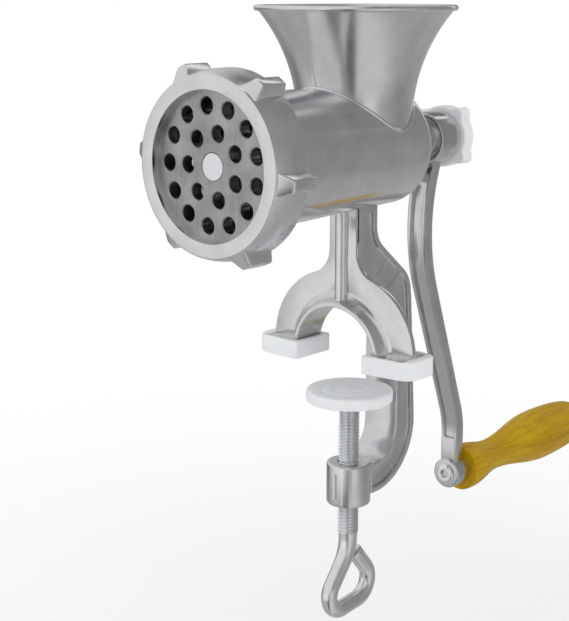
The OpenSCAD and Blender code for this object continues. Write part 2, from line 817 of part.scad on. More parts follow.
// Outline of the turned grip: collar, neck, belly and rounded end
module grip_outline() {
    neck_at = 0.26 * grip_len;
    belly_at = 0.68 * grip_len;
    end_r = 8;
    polygon(concat([[0, 0], [collar_r - 1, 0], [collar_r, 1.2]],
        [for (i = [0 : 8]) let (t = i / 8)
            [grip_neck_r + (collar_r - grip_neck_r) * (1 + cos(180 * t)) / 2, 3 + (neck_at - 3) * t]],
        [for (i = [1 : 10]) let (t = i / 10)
            [grip_neck_r + (grip_r - grip_neck_r) * (1 - cos(180 * t)) / 2, neck_at + (belly_at - neck_at) * t]],
        [for (i = [1 : 8]) let (t = i / 8)
            [end_r + (grip_r - end_r) * cos(90 * t), belly_at + (grip_len - belly_at) * sin(90 * t)]],
        [[0, grip_len]]));
}

module handle_grip() {
    color([0.80, 0.58, 0.20]) difference() {
        along_y(grip_front, 0, handle_z) rotate_extrude() grip_outline();
        y_cyl(axle_r + run_clear, grip_front - 1, grip_rear + 1, handle_z);
        y_cyl(axle_r + 3, grip_rear - head_recess - 1.1, grip_rear + 1, handle_z);
    }
}

// ---------------------------------------------------------------- clamp screw

// Arc of the eye's rod in the plane of the side view, about a centre (Y, Z)
module rod_arc(c, bend, a0, a1) {
    translate([0, c[0], c[1]]) rotate([90, 0, 90]) rotate(a0) rotate_extrude(angle = a1 - a0)
        translate([bend, 0]) circle(r = rod_r - step, $fn = 32);
}

// Straight stretch of the eye's rod between two points (Y, Z)
module rod_line(a, b) {
    d = b - a;
    translate([0, a[0], a[1]]) rotate([-atan2(d[0], d[1]), 0, 0])
        translate([0, 0, -joint]) cylinder(r = rod_r, h = norm(d) + 2 * joint, $fn = 32);
}

// Unit vector at an angle above +Y
function heading(a) = [cos(a), sin(a)];

// The rod swings to the front, runs round the eye and comes back to its own shank
module screw_eye() {
    swing = [-swing_r, swing_z];
    swing_end = swing + swing_r * heading(-swing_angle);
    side_end = swing_end - side_len * heading(90 - swing_angle);
    eye_c = side_end + eye_bend_r * heading(-swing_angle);
    base_start = eye_c + eye_bend_r * heading(base_slope - 90);
    base_end = base_start + base_len * heading(base_slope);
    corner_c = base_end + corner_bend_r * heading(base_slope + 90);
    corner_end = corner_c + corner_bend_r * heading(tip_slope - 90);
    rod_arc(swing, swing_r, -swing_angle, 0);
    rod_line(swing_end, side_end);
    rod_arc(eye_c, eye_bend_r, 180 - swing_angle, 270 + base_slope);
    rod_line(base_start, base_end);
    rod_arc(corner_c, corner_bend_r, base_slope - 90, tip_slope - 90);
    rod_line(corner_end, corner_end + tip_len * heading(tip_slope));
}

module clamp_screw() {
    color([0.68, 0.70, 0.74]) {
        translate([0, 0, thread_low]) cylinder(r = screw_r, h = thread_len);
        translate([0, 0, screw_top - joint]) cylinder(r = tip_r, h = rivet_low - screw_top + 2 * joint);
        translate([0, 0, rivet_low]) cylinder(r = tip_head_r, h = tip_head_t);
        translate([0, 0, swing_z - joint]) cylinder(r = rod_r, h = thread_low - swing_z + 2 * joint);
        screw_eye();
    }
}

// Steel plate that the screw's end is riveted through
module clamp_plate() {
    color([0.66, 0.67, 0.70]) difference() {
        translate([0, 0, disc_low]) cylinder(r = plate_in_r, h = plate_in_t);
        translate([0, 0, disc_low - 1]) cylinder(r = tip_r + run_clear, h = plate_in_t + 2);
    }
}

// Plastic cap that covers the steel plate and presses on the table
module clamp_cap() {
    edge = 1;
    color([0.92, 0.92, 0.94]) translate([0, 0, disc_low]) difference() {
        rotate_extrude() polygon([[0, 0], [disc_r - edge / 2, 0], [disc_r, edge], [disc_r, disc_t - edge],
            [disc_r - edge, disc_t], [0, disc_t]]);
        translate([0, 0, -1]) cylinder(r = plate_in_r + seat_gap, h = plate_in_t + 1);
        translate([0, 0, -1]) cylinder(r = tip_head_r + 0.4, h = rivet_low - disc_low + tip_head_t + 1.2);
    }
}

// ---------------------------------------------------------------- assembly

grinder_body();
foot_pad_left();
foot_pad_right();
plate_key_pin();
rear_bush();
thrust_washer();
ring_nut();
grinding_plate();
knife();
auger();
auger_stud();
crank_arm();
crank_knob();
knob_stud();
handle_axle();
axle_washer();
handle_grip();
end_washer();
clamp_screw();
clamp_plate();
clamp_cap();
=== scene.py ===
# %% [markdown]
# # A hand crank meat grinder
# The grinder clamps to the edge of a table. Meat goes in at the hopper, an auger pushes it along the
# barrel, a knife cuts it against a plate with holes, and a crank with a wooden grip turns it all.
# The sizes and the joints come from a finished model, which is loaded first and never changed. This
# script gives every piece its surface: most pieces are modelled again with smoother curves and eased
# edges, and each gets a material made of nodes.

import math

import bmesh
import bpy
from mathutils import Matrix, Vector


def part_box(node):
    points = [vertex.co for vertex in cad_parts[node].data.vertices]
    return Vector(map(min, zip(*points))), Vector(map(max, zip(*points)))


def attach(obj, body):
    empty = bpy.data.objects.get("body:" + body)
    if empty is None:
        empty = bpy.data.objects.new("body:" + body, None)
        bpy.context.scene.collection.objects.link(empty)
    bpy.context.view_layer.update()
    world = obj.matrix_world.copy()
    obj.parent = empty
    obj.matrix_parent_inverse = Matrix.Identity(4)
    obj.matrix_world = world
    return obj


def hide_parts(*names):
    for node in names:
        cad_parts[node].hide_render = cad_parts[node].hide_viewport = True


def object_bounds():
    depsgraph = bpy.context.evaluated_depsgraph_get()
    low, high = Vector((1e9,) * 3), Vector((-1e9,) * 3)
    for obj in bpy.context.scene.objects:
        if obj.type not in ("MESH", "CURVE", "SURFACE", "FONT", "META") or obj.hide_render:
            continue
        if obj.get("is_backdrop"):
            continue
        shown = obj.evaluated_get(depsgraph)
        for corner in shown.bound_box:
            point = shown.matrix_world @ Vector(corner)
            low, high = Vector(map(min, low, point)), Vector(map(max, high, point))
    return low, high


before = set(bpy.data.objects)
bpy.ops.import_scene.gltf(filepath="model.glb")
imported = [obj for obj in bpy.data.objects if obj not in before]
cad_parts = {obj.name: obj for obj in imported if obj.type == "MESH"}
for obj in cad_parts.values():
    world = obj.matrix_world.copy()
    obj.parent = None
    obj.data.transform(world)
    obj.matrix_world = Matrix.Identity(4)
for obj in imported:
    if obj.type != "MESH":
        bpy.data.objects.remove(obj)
cad_box = [list(corner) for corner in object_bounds()]
print("nodes in the frame:", len(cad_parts))

# %% [markdown]
# ## Working in millimetres
# The frame is in metres. Small metal parts are easier to read in millimetres, so every shape is made
# in millimetres and is scaled once, when it becomes an object. The places that pieces share, such as
# the barrel's axis, are read from the boxes of the frame's own nodes.

# %% Places taken from the frame
MM = 0.001


def box_mm(node):
    """Lowest and highest corner of a node, in millimetres."""
    low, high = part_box(node)
    return low / MM, high / MM


stud_low, stud_high = box_mm("auger_stud")
nut_low, nut_high = box_mm("ring_nut")
plate_low, plate_high = box_mm("grinding_plate")
knob_low, knob_high = box_mm("crank_knob")
cap_low, cap_high = box_mm("clamp_cap")
grip_low, grip_high = box_mm("handle_grip")
screw_low, screw_high = box_mm("clamp_screw")

AXIS_Z = (stud_low.z + stud_high.z) / 2
HANDLE_Z = (grip_low.z + grip_high.z) / 2
print(f"barrel axis at {AXIS_Z:.1f} mm, handle axis at {HANDLE_Z:.1f} mm")

# %% [markdown]
# ## The camera
# A long lens a little above the barrel, turned so that the outlet, the side of the barrel and the
# crank all show. The lens is in millimetres on a sensor of 36 mm, which spans the picture's height.

# %% Camera
CAMERA_PLACE = Vector((0.3102, -0.3950, 0.1333))
CAMERA_LOOK = Vector((-0.6382, 0.7370, -0.2228))

camera = bpy.data.objects.new("camera", bpy.data.cameras.new("camera"))
camera.data.lens = 81.54
camera.data.sensor_width = 36
camera.location = CAMERA_PLACE
camera.rotation_euler = CAMERA_LOOK.to_track_quat("-Z", "Y").to_euler()
bpy.context.scene.collection.objects.link(camera)
bpy.context.scene.camera = camera
print("camera looks along", tuple(round(v, 2) for v in CAMERA_LOOK))

# %% [markdown]
# ## Drawing outlines
# Turned and cast parts start as flat outlines. Two small helpers draw them: one gives the points of an
# arc, the other eases the corners of a path, because no real edge is perfectly sharp and an eased edge
# catches the light.

# %% Outline helpers
def arc(centre, radius, start, end, step=3.0):
    """Points of an arc in a plane, between two angles in degrees."""
    count = max(2, math.ceil(abs(end - start) / step))
    angles = [math.radians(start + (end - start) * i / count) for i in range(count + 1)]
    return [(centre[0] + radius * math.cos(a), centre[1] + radius * math.sin(a)) for a in angles]


def eased(corners, points=5):
    """Points of a closed path. A corner is (u, v) or (u, v, how far from it the easing starts)."""
    path = []
    for before, here, after in zip(corners[-1:] + corners[:-1], corners, corners[1:] + corners[:1]):
        corner = Vector(here[:2])
        ease = here[2] if len(here) > 2 else 0
        if not ease:
            path.append(tuple(corner))
            continue
        start = corner + (Vector(before[:2]) - corner).normalized() * ease
        end = corner + (Vector(after[:2]) - corner).normalized() * ease
        for i in range(points + 1):
            t = i / points
            path.append(tuple(start * (1 - t) ** 2 + corner * 2 * t * (1 - t) + end * t ** 2))
    return path


print("quarter arc:", len(arc((0, 0), 1, 0, 90)), "points")

# %% [markdown]
# ## Turning, extruding and sweeping
# Three ways of making a solid from an outline cover almost the whole grinder. A lathe spins a profile
# round an axis, a slab pushes an outline straight through, and a sweep carries a section along a bent
# path. Each returns a bmesh that can still be cut or joined.

# %% Solids from outlines
ACROSS = {"X": Vector((1, 0, 0)), "Y": Vector((0, 1, 0)), "Z": Vector((0, 0, 1))}


def tidy(bm):
    """Merges doubled points and turns all faces outwards."""
    bmesh.ops.remove_doubles(bm, verts=bm.verts, dist=0.0005)
    bmesh.ops.recalc_face_normals(bm, faces=bm.faces)
    return bm


def lathe(profile, base, axis, sides=192):
    """Spins a closed profile of (radius, distance along the axis) about an axis through base."""
    bm = bmesh.new()
    out = ACROSS["X"] if axis == "Z" else ACROSS["Z"]
    verts = [bm.verts.new(Vector(base) + out * r + ACROSS[axis] * along) for r, along in profile]
    edges = [bm.edges.new(pair) for pair in zip(verts, verts[1:] + verts[:1])
             if (pair[0].co - Vector(base)).cross(ACROSS[axis]).length > 1e-4
             or (pair[1].co - Vector(base)).cross(ACROSS[axis]).length > 1e-4]
    bmesh.ops.spin(bm, geom=verts + edges, cent=base, axis=ACROSS[axis], dvec=(0, 0, 0),
                   angle=math.tau, steps=sides, use_merge=True, use_duplicate=False)
    return tidy(bm)


def slab(outline, low, high, axis):
    """A solid between two places along an axis, from an outline in the other two directions."""
    bm = bmesh.new()
    first, second = [ACROSS[name] for name in "XYZ" if name != axis]
    start = ACROSS[axis] * low
    face = bm.faces.new([bm.verts.new(first * u + second * v + start) for u, v in outline])
    made = bmesh.ops.extrude_face_region(bm, geom=[face])["geom"]
    far = [g for g in made if isinstance(g, bmesh.types.BMVert)]
    bmesh.ops.translate(bm, vec=ACROSS[axis] * (high - low), verts=far)
    return tidy(bm)


def sweep(section, stations):
    """Carries a flat closed section from station to station, and closes both ends."""
    bm = bmesh.new()
    ring = [bm.verts.new(stations[0] @ Vector((u, v, 0))) for u, v in section]
    edges = [bm.edges.new(pair) for pair in zip(ring, ring[1:] + ring[:1])]
    bmesh.ops.edgeloop_fill(bm, edges=edges)
    for here, after in zip(stations, stations[1:]):
        made = bmesh.ops.extrude_edge_only(bm, edges=edges)["geom"]
        ring = [g for g in made if isinstance(g, bmesh.types.BMVert)]
        edges = [g for g in made if isinstance(g, bmesh.types.BMEdge) and all(v in ring for v in g.verts)]
        bmesh.ops.transform(bm, matrix=after @ here.inverted(), verts=ring)
    bmesh.ops.edgeloop_fill(bm, edges=edges)
    return tidy(bm)


print("solids are made by lathe, slab and sweep")

# %% [markdown]
# ## Joining, cutting and easing
# A casting is one piece of metal whose ribs and walls run into each other. Cutting is left to Blender's
# exact Boolean. Solids that only have to overlap are gathered in one mesh, which is quicker and keeps
# their curves. A bevel on the sharp edges then gives each solid the soft edge of a tumbled casting.

# %% Joining, cutting and easing
def scratch(bm):
    """A short-lived object that holds a bmesh, so that a modifier can work on it."""
    mesh = bpy.data.meshes.new("scratch")
    bm.to_mesh(mesh)
    bm.free()
    obj = bpy.data.objects.new("scratch", mesh)
    bpy.context.scene.collection.objects.link(obj)
    return obj


def baked(obj, *others):
    """The object's shape with its modifiers applied, as a bmesh. The objects are deleted."""
    bpy.context.view_layer.update()
    shown = obj.evaluated_get(bpy.context.evaluated_depsgraph_get())
    bm = bmesh.new()
    bm.from_mesh(shown.to_mesh())
    shown.to_mesh_clear()
    for used in (obj, *others):
        bpy.data.objects.remove(used)
    return bm


def carve(block, tool, operation="DIFFERENCE"):
    """Cuts one solid out of another, or joins them with UNION."""
    block, tool = scratch(block), scratch(tool)
    cut = block.modifiers.new("cut", "BOOLEAN")
    cut.operation = operation
    cut.solver = "EXACT"
    cut.object = tool
    return baked(block, tool)


def gather(*parts):
    """Several solids in one bmesh, overlapping where they overlap."""
    together = bmesh.new()
    for part in parts:
        mesh = bpy.data.meshes.new("gather")
        part.to_mesh(mesh)
        part.free()
        together.from_mesh(mesh)
        bpy.data.meshes.remove(mesh)
    return together


def soften(bm, offset, segments=2, angle=0.5):
    """Eases every edge that is sharper than an angle in radians."""
    sharp = [e for e in bm.edges if len(e.link_faces) == 2 and e.calc_face_angle() > angle]
    bmesh.ops.bevel(bm, geom=sharp, affect="EDGES", offset=offset, segments=segments, profile=0.5,
                    material=-1, clamp_overlap=True)
    return bm


def trim(bm, height, side):
    """Cuts off what lies above a height (side 1) or below it (side -1), and closes the cut."""
    bmesh.ops.bisect_plane(bm, geom=bm.verts[:] + bm.edges[:] + bm.faces[:], plane_co=(0, 0, height),
                           plane_no=(0, 0, side), clear_outer=True)
    bmesh.ops.holes_fill(bm, edges=[e for e in bm.edges if e.is_boundary], sides=0)
    return bm


print("castings are carved, gathered and softened")

# %% [markdown]
# ## Shader maths as Python expressions
# A material is a graph of nodes. Writing it as expressions keeps it short: a Wire is a socket that can
# be added and multiplied, and each operator adds the Math node it stands for. Paint owns a material and
# adds every other kind of node through one method.

# %% Wire and Paint
class Wire:
    """An output socket that takes part in Python expressions."""

    def __init__(self, paint, socket):
        self.paint = paint
        self.socket = socket

    def maths(self, operation, *values):
        return self.paint.node("ShaderNodeMath", {"operation": operation}, dict(enumerate(values)))

    def __add__(self, other):
        return self.maths("ADD", self, other)

    def __mul__(self, other):
        return self.maths("MULTIPLY", self, other)

    def __sub__(self, other):
        return self.maths("SUBTRACT", self, other)

    def __rsub__(self, other):
        return self.maths("SUBTRACT", other, self)

    __radd__ = __add__
    __rmul__ = __mul__


class Paint:
    """A node graph, for a material or for the world."""

    def __init__(self, owner):
        self.owner = owner
        owner.use_nodes = True
        self.tree = owner.node_tree

    def node(self, kind, settings=None, inputs=None, output=0):
        """Adds a node, sets it, feeds its sockets and returns one of its outputs."""
        made = self.tree.nodes.new(kind)
        for key, value in (settings or {}).items():
            if key == "stops":
                self.set_stops(made.color_ramp, value)
            else:
                setattr(made, key, value)
        for key, value in (inputs or {}).items():
            self.feed(made.inputs[key], value)
        return Wire(self, made.outputs[output])

    def set_stops(self, ramp, stops):
        while len(ramp.elements) < len(stops):
            ramp.elements.new(1)
        for element, (place, colour) in zip(ramp.elements, stops):
            element.position = place
            element.color = (*colour, 1)

    def feed(self, socket, value):
        if isinstance(value, Wire):
            self.tree.links.new(value.socket, socket)
        else:
            socket.default_value = value

    def ramp(self, factor, *stops):
        """Colours along a factor, from pairs of a place and a colour."""
        return self.node("ShaderNodeValToRGB", {"stops": stops}, {"Fac": factor})

    def blend(self, factor, first, second):
        """A mix of two colours."""
        return self.node("ShaderNodeMix", {"data_type": "RGBA"}, {0: factor, 6: first, 7: second}, 2)

    def place(self, scale=(1, 1, 1), turn=(0, 0, 0), move=(0, 0, 0)):
        """The piece's own coordinates in millimetres, stretched and turned."""
        spot = self.node("ShaderNodeTexCoord", output="Object")
        stretch = tuple(s / MM for s in scale)
        return self.node("ShaderNodeMapping", None,
                         {"Vector": spot, "Scale": stretch, "Rotation": turn, "Location": move})

    def noise(self, vector, scale, detail=3.0, roughness=0.5, distortion=0.0):
        """Soft random patches. The scale is how many there are in a millimetre."""
        return self.node("ShaderNodeTexNoise", None, {
            "Vector": vector, "Scale": scale, "Detail": detail, "Roughness": roughness,
            "Distortion": distortion})


print("materials are written with Wire and Paint")

# %% [markdown]
# ## Metals
# Every metal part here is bare: cast aluminium that was tumbled and polished, ground and turned steel,
# bright zinc and a little bronze. They share one recipe. Metal has no diffuse colour, so what makes it
# believable is how its gloss changes: cloudy patches from handling, fine scratches from polishing, and
# a slight unevenness of the cast skin that bends the reflections.

# %% Metal recipe
def surface(name, colour, roughness, metallic=1.0, **constants):
    """A material with a Principled shader whose plain values are set on its own sockets."""
    paint = Paint(bpy.data.materials.new(name))
    shader = paint.tree.nodes["Principled BSDF"]
    paint.shader = shader
    shader.inputs["Base Color"].default_value = (*colour, 1)
    shader.inputs["Roughness"].default_value = roughness
    shader.inputs["Metallic"].default_value = metallic
    for key, value in constants.items():
        shader.inputs[key.replace("_", " ").title().replace("Ior", "IOR")].default_value = value
    return paint


def bump(paint, height, distance, strength=1.0):
    """Lets a height in millimetres bend the shader's normal."""
    normal = paint.node("ShaderNodeBump", None, {"Height": height, "Distance": distance * MM,
                                                 "Strength": strength})
    paint.feed(paint.shader.inputs["Normal"], normal)


def metal(name, colour, gloss, cloud=0.06, grain=(1, 1, 1), scratch_depth=0.004, wave=0.0, contrast=0.14):
    """Bare metal with cloudy gloss, fine scratches along the grain and an uneven skin."""
    paint = surface(name, colour, gloss)
    clouds = paint.noise(paint.place(), 0.11, 4)
    streaks = paint.noise(paint.place(grain), 1.4, 5, 0.65)
    darker = tuple((1 - contrast) * c for c in colour)
    lighter = tuple(min(1, (1 + contrast / 3) * c) for c in colour)
    tone = clouds * 0.6 + streaks * 0.4
    paint.feed(paint.shader.inputs["Base Color"], paint.ramp(tone, (0.3, darker), (0.68, lighter)))
    rough = gloss + (clouds - 0.5) * cloud * 2 + (streaks - 0.5) * cloud
    paint.feed(paint.shader.inputs["Roughness"], rough)
    skin = paint.noise(paint.place(), 0.09, 1) * wave + streaks * scratch_depth
    bump(paint, skin, 1.0)
    return paint.owner


def pin_with_painted_shade(name, faced, shank_shade, edge_y):
    """Turned steel whose faced end is bright, with painted shade on the shank behind it, where it sits in
    the hole.
    """
    paint = surface(name, faced, 0.34)
    depth = paint.node("ShaderNodeSeparateXYZ", None, {0: paint.place()}, 1)
    behind = paint.node("ShaderNodeMapRange", None,
                        {"Value": depth, "From Min": edge_y, "From Max": edge_y + 1})
    streaks = paint.noise(paint.place(), 1.4, 4)
    # Painted shade: the shank behind the faced end is coloured darker, as the hole shades it.
    tint = paint.ramp(behind + (streaks - 0.5) * 0.15, (0.1, faced), (0.9, shank_shade))
    paint.feed(paint.shader.inputs["Base Color"], tint)
    bump(paint, streaks * 0.004, 1.0)
    return paint.owner


CAST = metal("polished_casting", (0.80, 0.80, 0.815), 0.17, wave=0.03)
CAST_FRAME = metal("frame_casting", (0.78, 0.78, 0.79), 0.19, scratch_depth=0.002, wave=0.03)
CRANK_METAL = metal("crank_casting", (0.71, 0.71, 0.72), 0.21, scratch_depth=0.002, wave=0.03)
NUT_METAL = metal("nut_aluminium", (0.82, 0.82, 0.84), 0.22, cloud=0.04, scratch_depth=0.002)
PLATE_METAL = metal("ground_plate", (0.47, 0.47, 0.465), 0.34, cloud=0.12, grain=(2.2, 0.4, 0.04),
                    scratch_depth=0.02, contrast=0.42)
ZINC = metal("bright_zinc", (0.86, 0.875, 0.895), 0.20, cloud=0.08, scratch_depth=0.003)
# The auger is cast aluminium like the body. Its dark base colour is painted shade from inside the barrel.
SHADED_AUGER_METAL = metal("auger_casting_painted_shade", (0.36, 0.36, 0.37), 0.42, cloud=0.1, scratch_depth=0.015, wave=0.1)
BLADE_METAL = metal("blade_steel", (0.22, 0.22, 0.23), 0.40)
PIN_METAL_SHADED = pin_with_painted_shade("turned_pin_shaded_shank", (0.90, 0.92, 0.96), (0.30, 0.30, 0.31), stud_low.y + 0.8)
BRONZE = metal("bush_bronze", (0.30, 0.22, 0.13), 0.42)
print("metals:", len([m for m in bpy.data.materials if m.use_nodes]))

# %% [markdown]
# ## Plastic, fibre and wood
# The pads, the clamp cap and the knob are a milky plastic with a soft gloss. Light goes a little way
# into it, so the shader gets some subsurface scattering. The grip is beech under a golden varnish: its
# grain runs along the handle, so the noise that draws it is stretched along Y.

# %% Plastic, fibre and wood
def plastic(name, colour, gloss):
    """Moulded plastic with a faint mottle and a fine texture from the mould."""
    paint = surface(name, colour, gloss, metallic=0.0, subsurface_weight=0.25, subsurface_scale=0.002)
    mottle = paint.noise(paint.place(), 0.25, 3)
    darker = tuple(0.95 * c for c in colour)
    paint.feed(paint.shader.inputs["Base Color"], paint.ramp(mottle, (0.3, darker), (0.7, colour)))
    paint.feed(paint.shader.inputs["Roughness"], gloss + (mottle - 0.5) * 0.12)
    bump(paint, paint.noise(paint.place(), 2.2, 2), 0.012)
    return paint.owner


def varnished_wood(name):
    """Beech with its grain along Y, under a clear glossy coat."""
    paint = surface(name, (0.45, 0.25, 0.002), 0.5, metallic=0.0, coat_weight=0.10, coat_roughness=0.25,
                    specular_ior_level=0.14)
    warp = paint.noise(paint.place((1, 0.12, 1)), 0.16, 2)
    rings = paint.noise(paint.place((1, 0.05, 1)), 0.55, 4, 0.6, 0.8)
    fibres = paint.noise(paint.place((1, 0.03, 1)), 4.0, 3, 0.7)
    tone = rings * 0.5 + fibres * 0.25 + warp * 0.25
    paint.feed(paint.shader.inputs["Base Color"], paint.ramp(
        tone, (0.32, (0.30, 0.142, 0.001)), (0.47, (0.455, 0.262, 0.001)), (0.64, (0.565, 0.365, 0.004))))
    bump(paint, fibres * 0.02 + rings * 0.02, 1.0)
    return paint.owner


PLASTIC = plastic("milky_plastic", (0.86, 0.875, 0.90), 0.38)
FIBRE = plastic("washer_fibre", (0.62, 0.60, 0.54), 0.6)
WOOD = varnished_wood("golden_beech")
print("materials in all:", len(bpy.data.materials))

# %% [markdown]
# ## Finishing a piece
# A finished piece is an object at the origin, unturned and unscaled, whose place is in its mesh. It is
# shaded smooth, with edges over a set angle kept sharp. It rides on the body that carries it, and
# stands for one or more nodes of the frame.

# %% Finishing a piece
def piece(name, bm, body, slot, material, *nodes, sharp=35):
    """Makes an object of a finished bmesh and ties it to the frame."""
    bmesh.ops.scale(bm, vec=(MM, MM, MM), verts=bm.verts)
    mesh = bpy.data.meshes.new(name)
    bm.to_mesh(mesh)
    bm.free()
    mesh.shade_smooth()
    mesh.set_sharp_from_angle(angle=math.radians(sharp))
    mesh.materials.append(material)
    obj = bpy.data.objects.new(name, mesh)
    bpy.context.scene.collection.objects.link(obj)
    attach(obj, body)
    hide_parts(*nodes)
    size = [round(v / MM, 1) for v in obj.dimensions]
    print(f"{name}: {len(mesh.polygons)} faces, {size} mm")
    return obj


# %% [markdown]
# ## The barrel and the hopper
# On the real grinder these are one hollow casting. The outside is a slightly tapered barrel with a
# threaded collar at the front, a bearing boss at the rear, and a hopper that flares like a bell. The
# bell is an arc that leaves the neck upright. Outside and inside are both turned on the lathe, joined
# where they cross, and then the inside is cut from the outside, which opens the throat.

# %% Barrel and hopper
BARREL_FRONT_R = 23
BARREL_REAR_R = 21.4
BARREL_REAR = 20.6
COLLAR_FRONT = -71.6
COLLAR_REAR = -61
COLLAR_R = 28.9
BORE_R = 18.5
BORE_REAR = 16.6
BORE_FRONT = -59.5
BOSS_R = 10.5
BOSS_REAR = 35
BUSH_R = 8.28
PLATE_SEAT_R = 27
PLATE_SEAT_REAR = -67
CHAMBER_R = 24.25
CHAMBER_REAR = -62.6

barrel_outside = eased([
    (0, COLLAR_FRONT), (COLLAR_R, COLLAR_FRONT, 0.8), (COLLAR_R, COLLAR_REAR),
    (BARREL_FRONT_R, COLLAR_REAR), (BARREL_REAR_R, BARREL_REAR, 4.0),
    (BOSS_R, BARREL_REAR, 1.2), (BOSS_R, BOSS_REAR, 0.8), (0, BOSS_REAR)], 8)
barrel_inside = [
    (0, COLLAR_FRONT - 1), (PLATE_SEAT_R, COLLAR_FRONT - 1), (PLATE_SEAT_R, PLATE_SEAT_REAR),
    (CHAMBER_R, PLATE_SEAT_REAR), (CHAMBER_R, CHAMBER_REAR), (BORE_R, BORE_FRONT),
    (BORE_R, BORE_REAR), (BUSH_R, BORE_REAR),
    (BUSH_R, BOSS_REAR + 1), (0, BOSS_REAR + 1)]

HOPPER_Y = 1.2
NECK_R = 20.5
NECK_Z = AXIS_Z + 10
RIM_R = 35.8
RIM_Z = AXIS_Z + 50
WALL = 2.8
LIP_R = 1.0
flare_angle = 2 * math.degrees(math.atan((RIM_R - NECK_R) / (RIM_Z - NECK_Z)))
FLARE_R = (RIM_Z - NECK_Z) / math.sin(math.radians(flare_angle))


def bell(inset, top):
    """Profile of the hopper's flare, drawn in from its outside, from the barrel's axis to a height."""
    centre = (NECK_R + FLARE_R, NECK_Z)
    radius = FLARE_R + inset
    stop = math.degrees(math.asin((top - NECK_Z) / radius))
    curve = arc(centre, radius, 180, 180 - stop, 1.2)
    return [(0, AXIS_Z), (NECK_R - inset, AXIS_Z)] + curve + [(0, top)]


def hopper_lip():
    """The thin bead round the hopper's rim."""
    lip_z = RIM_Z - LIP_R
    return lathe(arc((RIM_R - LIP_R, lip_z), LIP_R, 0, 345, 15), (0, HOPPER_Y, 0), "Z", 256)


BEAD_R = 0.65
RIDGE_W = 0.5
RIDGE_H = 0.22


def hopper_radius(height):
    """Outer radius of the hopper at a height."""
    up = max(0, height - NECK_Z)
    return NECK_R + FLARE_R - math.sqrt(FLARE_R ** 2 - up ** 2)


def seam_place(angle):
    """Where the hopper's wall meets the barrel, at an angle round the hopper's axis."""
    spot = Vector((0, HOPPER_Y, NECK_Z))
    for _ in range(8):
        radius = hopper_radius(spot.z)
        spot.x, spot.y = radius * math.cos(angle), HOPPER_Y + radius * math.sin(angle)
        along = (spot.y - COLLAR_REAR) / (BARREL_REAR - COLLAR_REAR)
        barrel_r = BARREL_FRONT_R + (BARREL_REAR_R - BARREL_FRONT_R) * along
        spot.z = AXIS_Z + math.sqrt(barrel_r ** 2 - spot.x ** 2)
    return spot


def hopper_bead():
    """A thin fillet of metal round the foot of the hopper."""
    places = [seam_place(math.radians(a)) for a in range(0, 363, 3)]
    stations = []
    for before, here, after in zip([places[-4]] + places, places, places[1:] + [places[3]]):
        turn = (after - before).to_track_quat("Z", "Y").to_matrix().to_4x4()
        stations.append(Matrix.Translation(here) @ turn @ Matrix.Scale(BEAD_R, 4))
    return sweep(arc((0, 0), 1, 0, 330, 30), stations)


def hopper_ridge():
    """The parting line that the mould leaves on the front of the hopper."""
    heights = [AXIS_Z + BARREL_FRONT_R - 1 + i for i in range(int(RIM_Z - AXIS_Z - BARREL_FRONT_R))]
    crest = [(HOPPER_Y - hopper_radius(z) - RIDGE_H, z) for z in heights]
    root = [(HOPPER_Y - hopper_radius(z) + 1, z) for z in reversed(heights)]
    return slab(crest + root, -RIDGE_W / 2, RIDGE_W / 2, "X")


outside = carve(lathe(barrel_outside, (0, 0, AXIS_Z), "Y", 256),
                lathe(bell(0, RIM_Z - LIP_R), (0, HOPPER_Y, 0), "Z", 256), "UNION")
inside = carve(lathe(barrel_inside, (0, 0, AXIS_Z), "Y", 128),
               lathe(bell(WALL, RIM_Z + 3), (0, HOPPER_Y, 0), "Z", 256), "UNION")
shell = gather(carve(outside, inside), hopper_lip(), hopper_bead(), hopper_ridge())
piece("barrel_and_hopper", shell, "frame", "cast_aluminium", CAST, "grinder_body", sharp=30)

# %% [markdown]
# ## The column, the arch and the clamp frame
# Below the barrel the same casting goes on as a column that splits into an arch with two feet, and
# as a C-shaped frame that reaches round the table's edge to the boss of the clamp screw. Its side view
# is one closed outline of straights and arcs. Both flat sides carry a shallow panel, cut with the same
# outline drawn a little smaller. The arch is an extruded outline with a turned rim and a round rib, and
# it overlaps the web as it does in the one casting.

# %% Side view of the clamp frame
COLUMN_W = 6.1
COLUMN_FRONT = -5
COLUMN_REAR = 7.6
SPINE_IN = 19.5
SPINE_DEPTH = 11.4
SPINE_W = 7.5
SPINE_LEAN = 3.4
JAW_Z = -40.2
JAW_START = 4.3
CORNER_R = 12.4
S_CURVE_R = 11
S_CURVE_ANGLE = 50
S_TOP_Z = 50
ARCH_Z = 3.4
ARCH_R = 17.9
CROWN_REAR = 4.5
CROWN_R = SPINE_IN - CROWN_REAR
COLUMN_TOP = AXIS_Z - 20

spine_out = SPINE_IN + SPINE_DEPTH
s_low_y = spine_out - SPINE_LEAN
turn = math.radians(S_CURVE_ANGLE)
s_straight = (s_low_y - COLUMN_REAR - 2 * S_CURVE_R * (1 - math.cos(turn))) / math.sin(turn)
s_low_z = S_TOP_Z - 2 * S_CURVE_R * math.sin(turn) - s_straight * math.cos(turn)
corner = (SPINE_IN - CORNER_R, JAW_Z + CORNER_R)


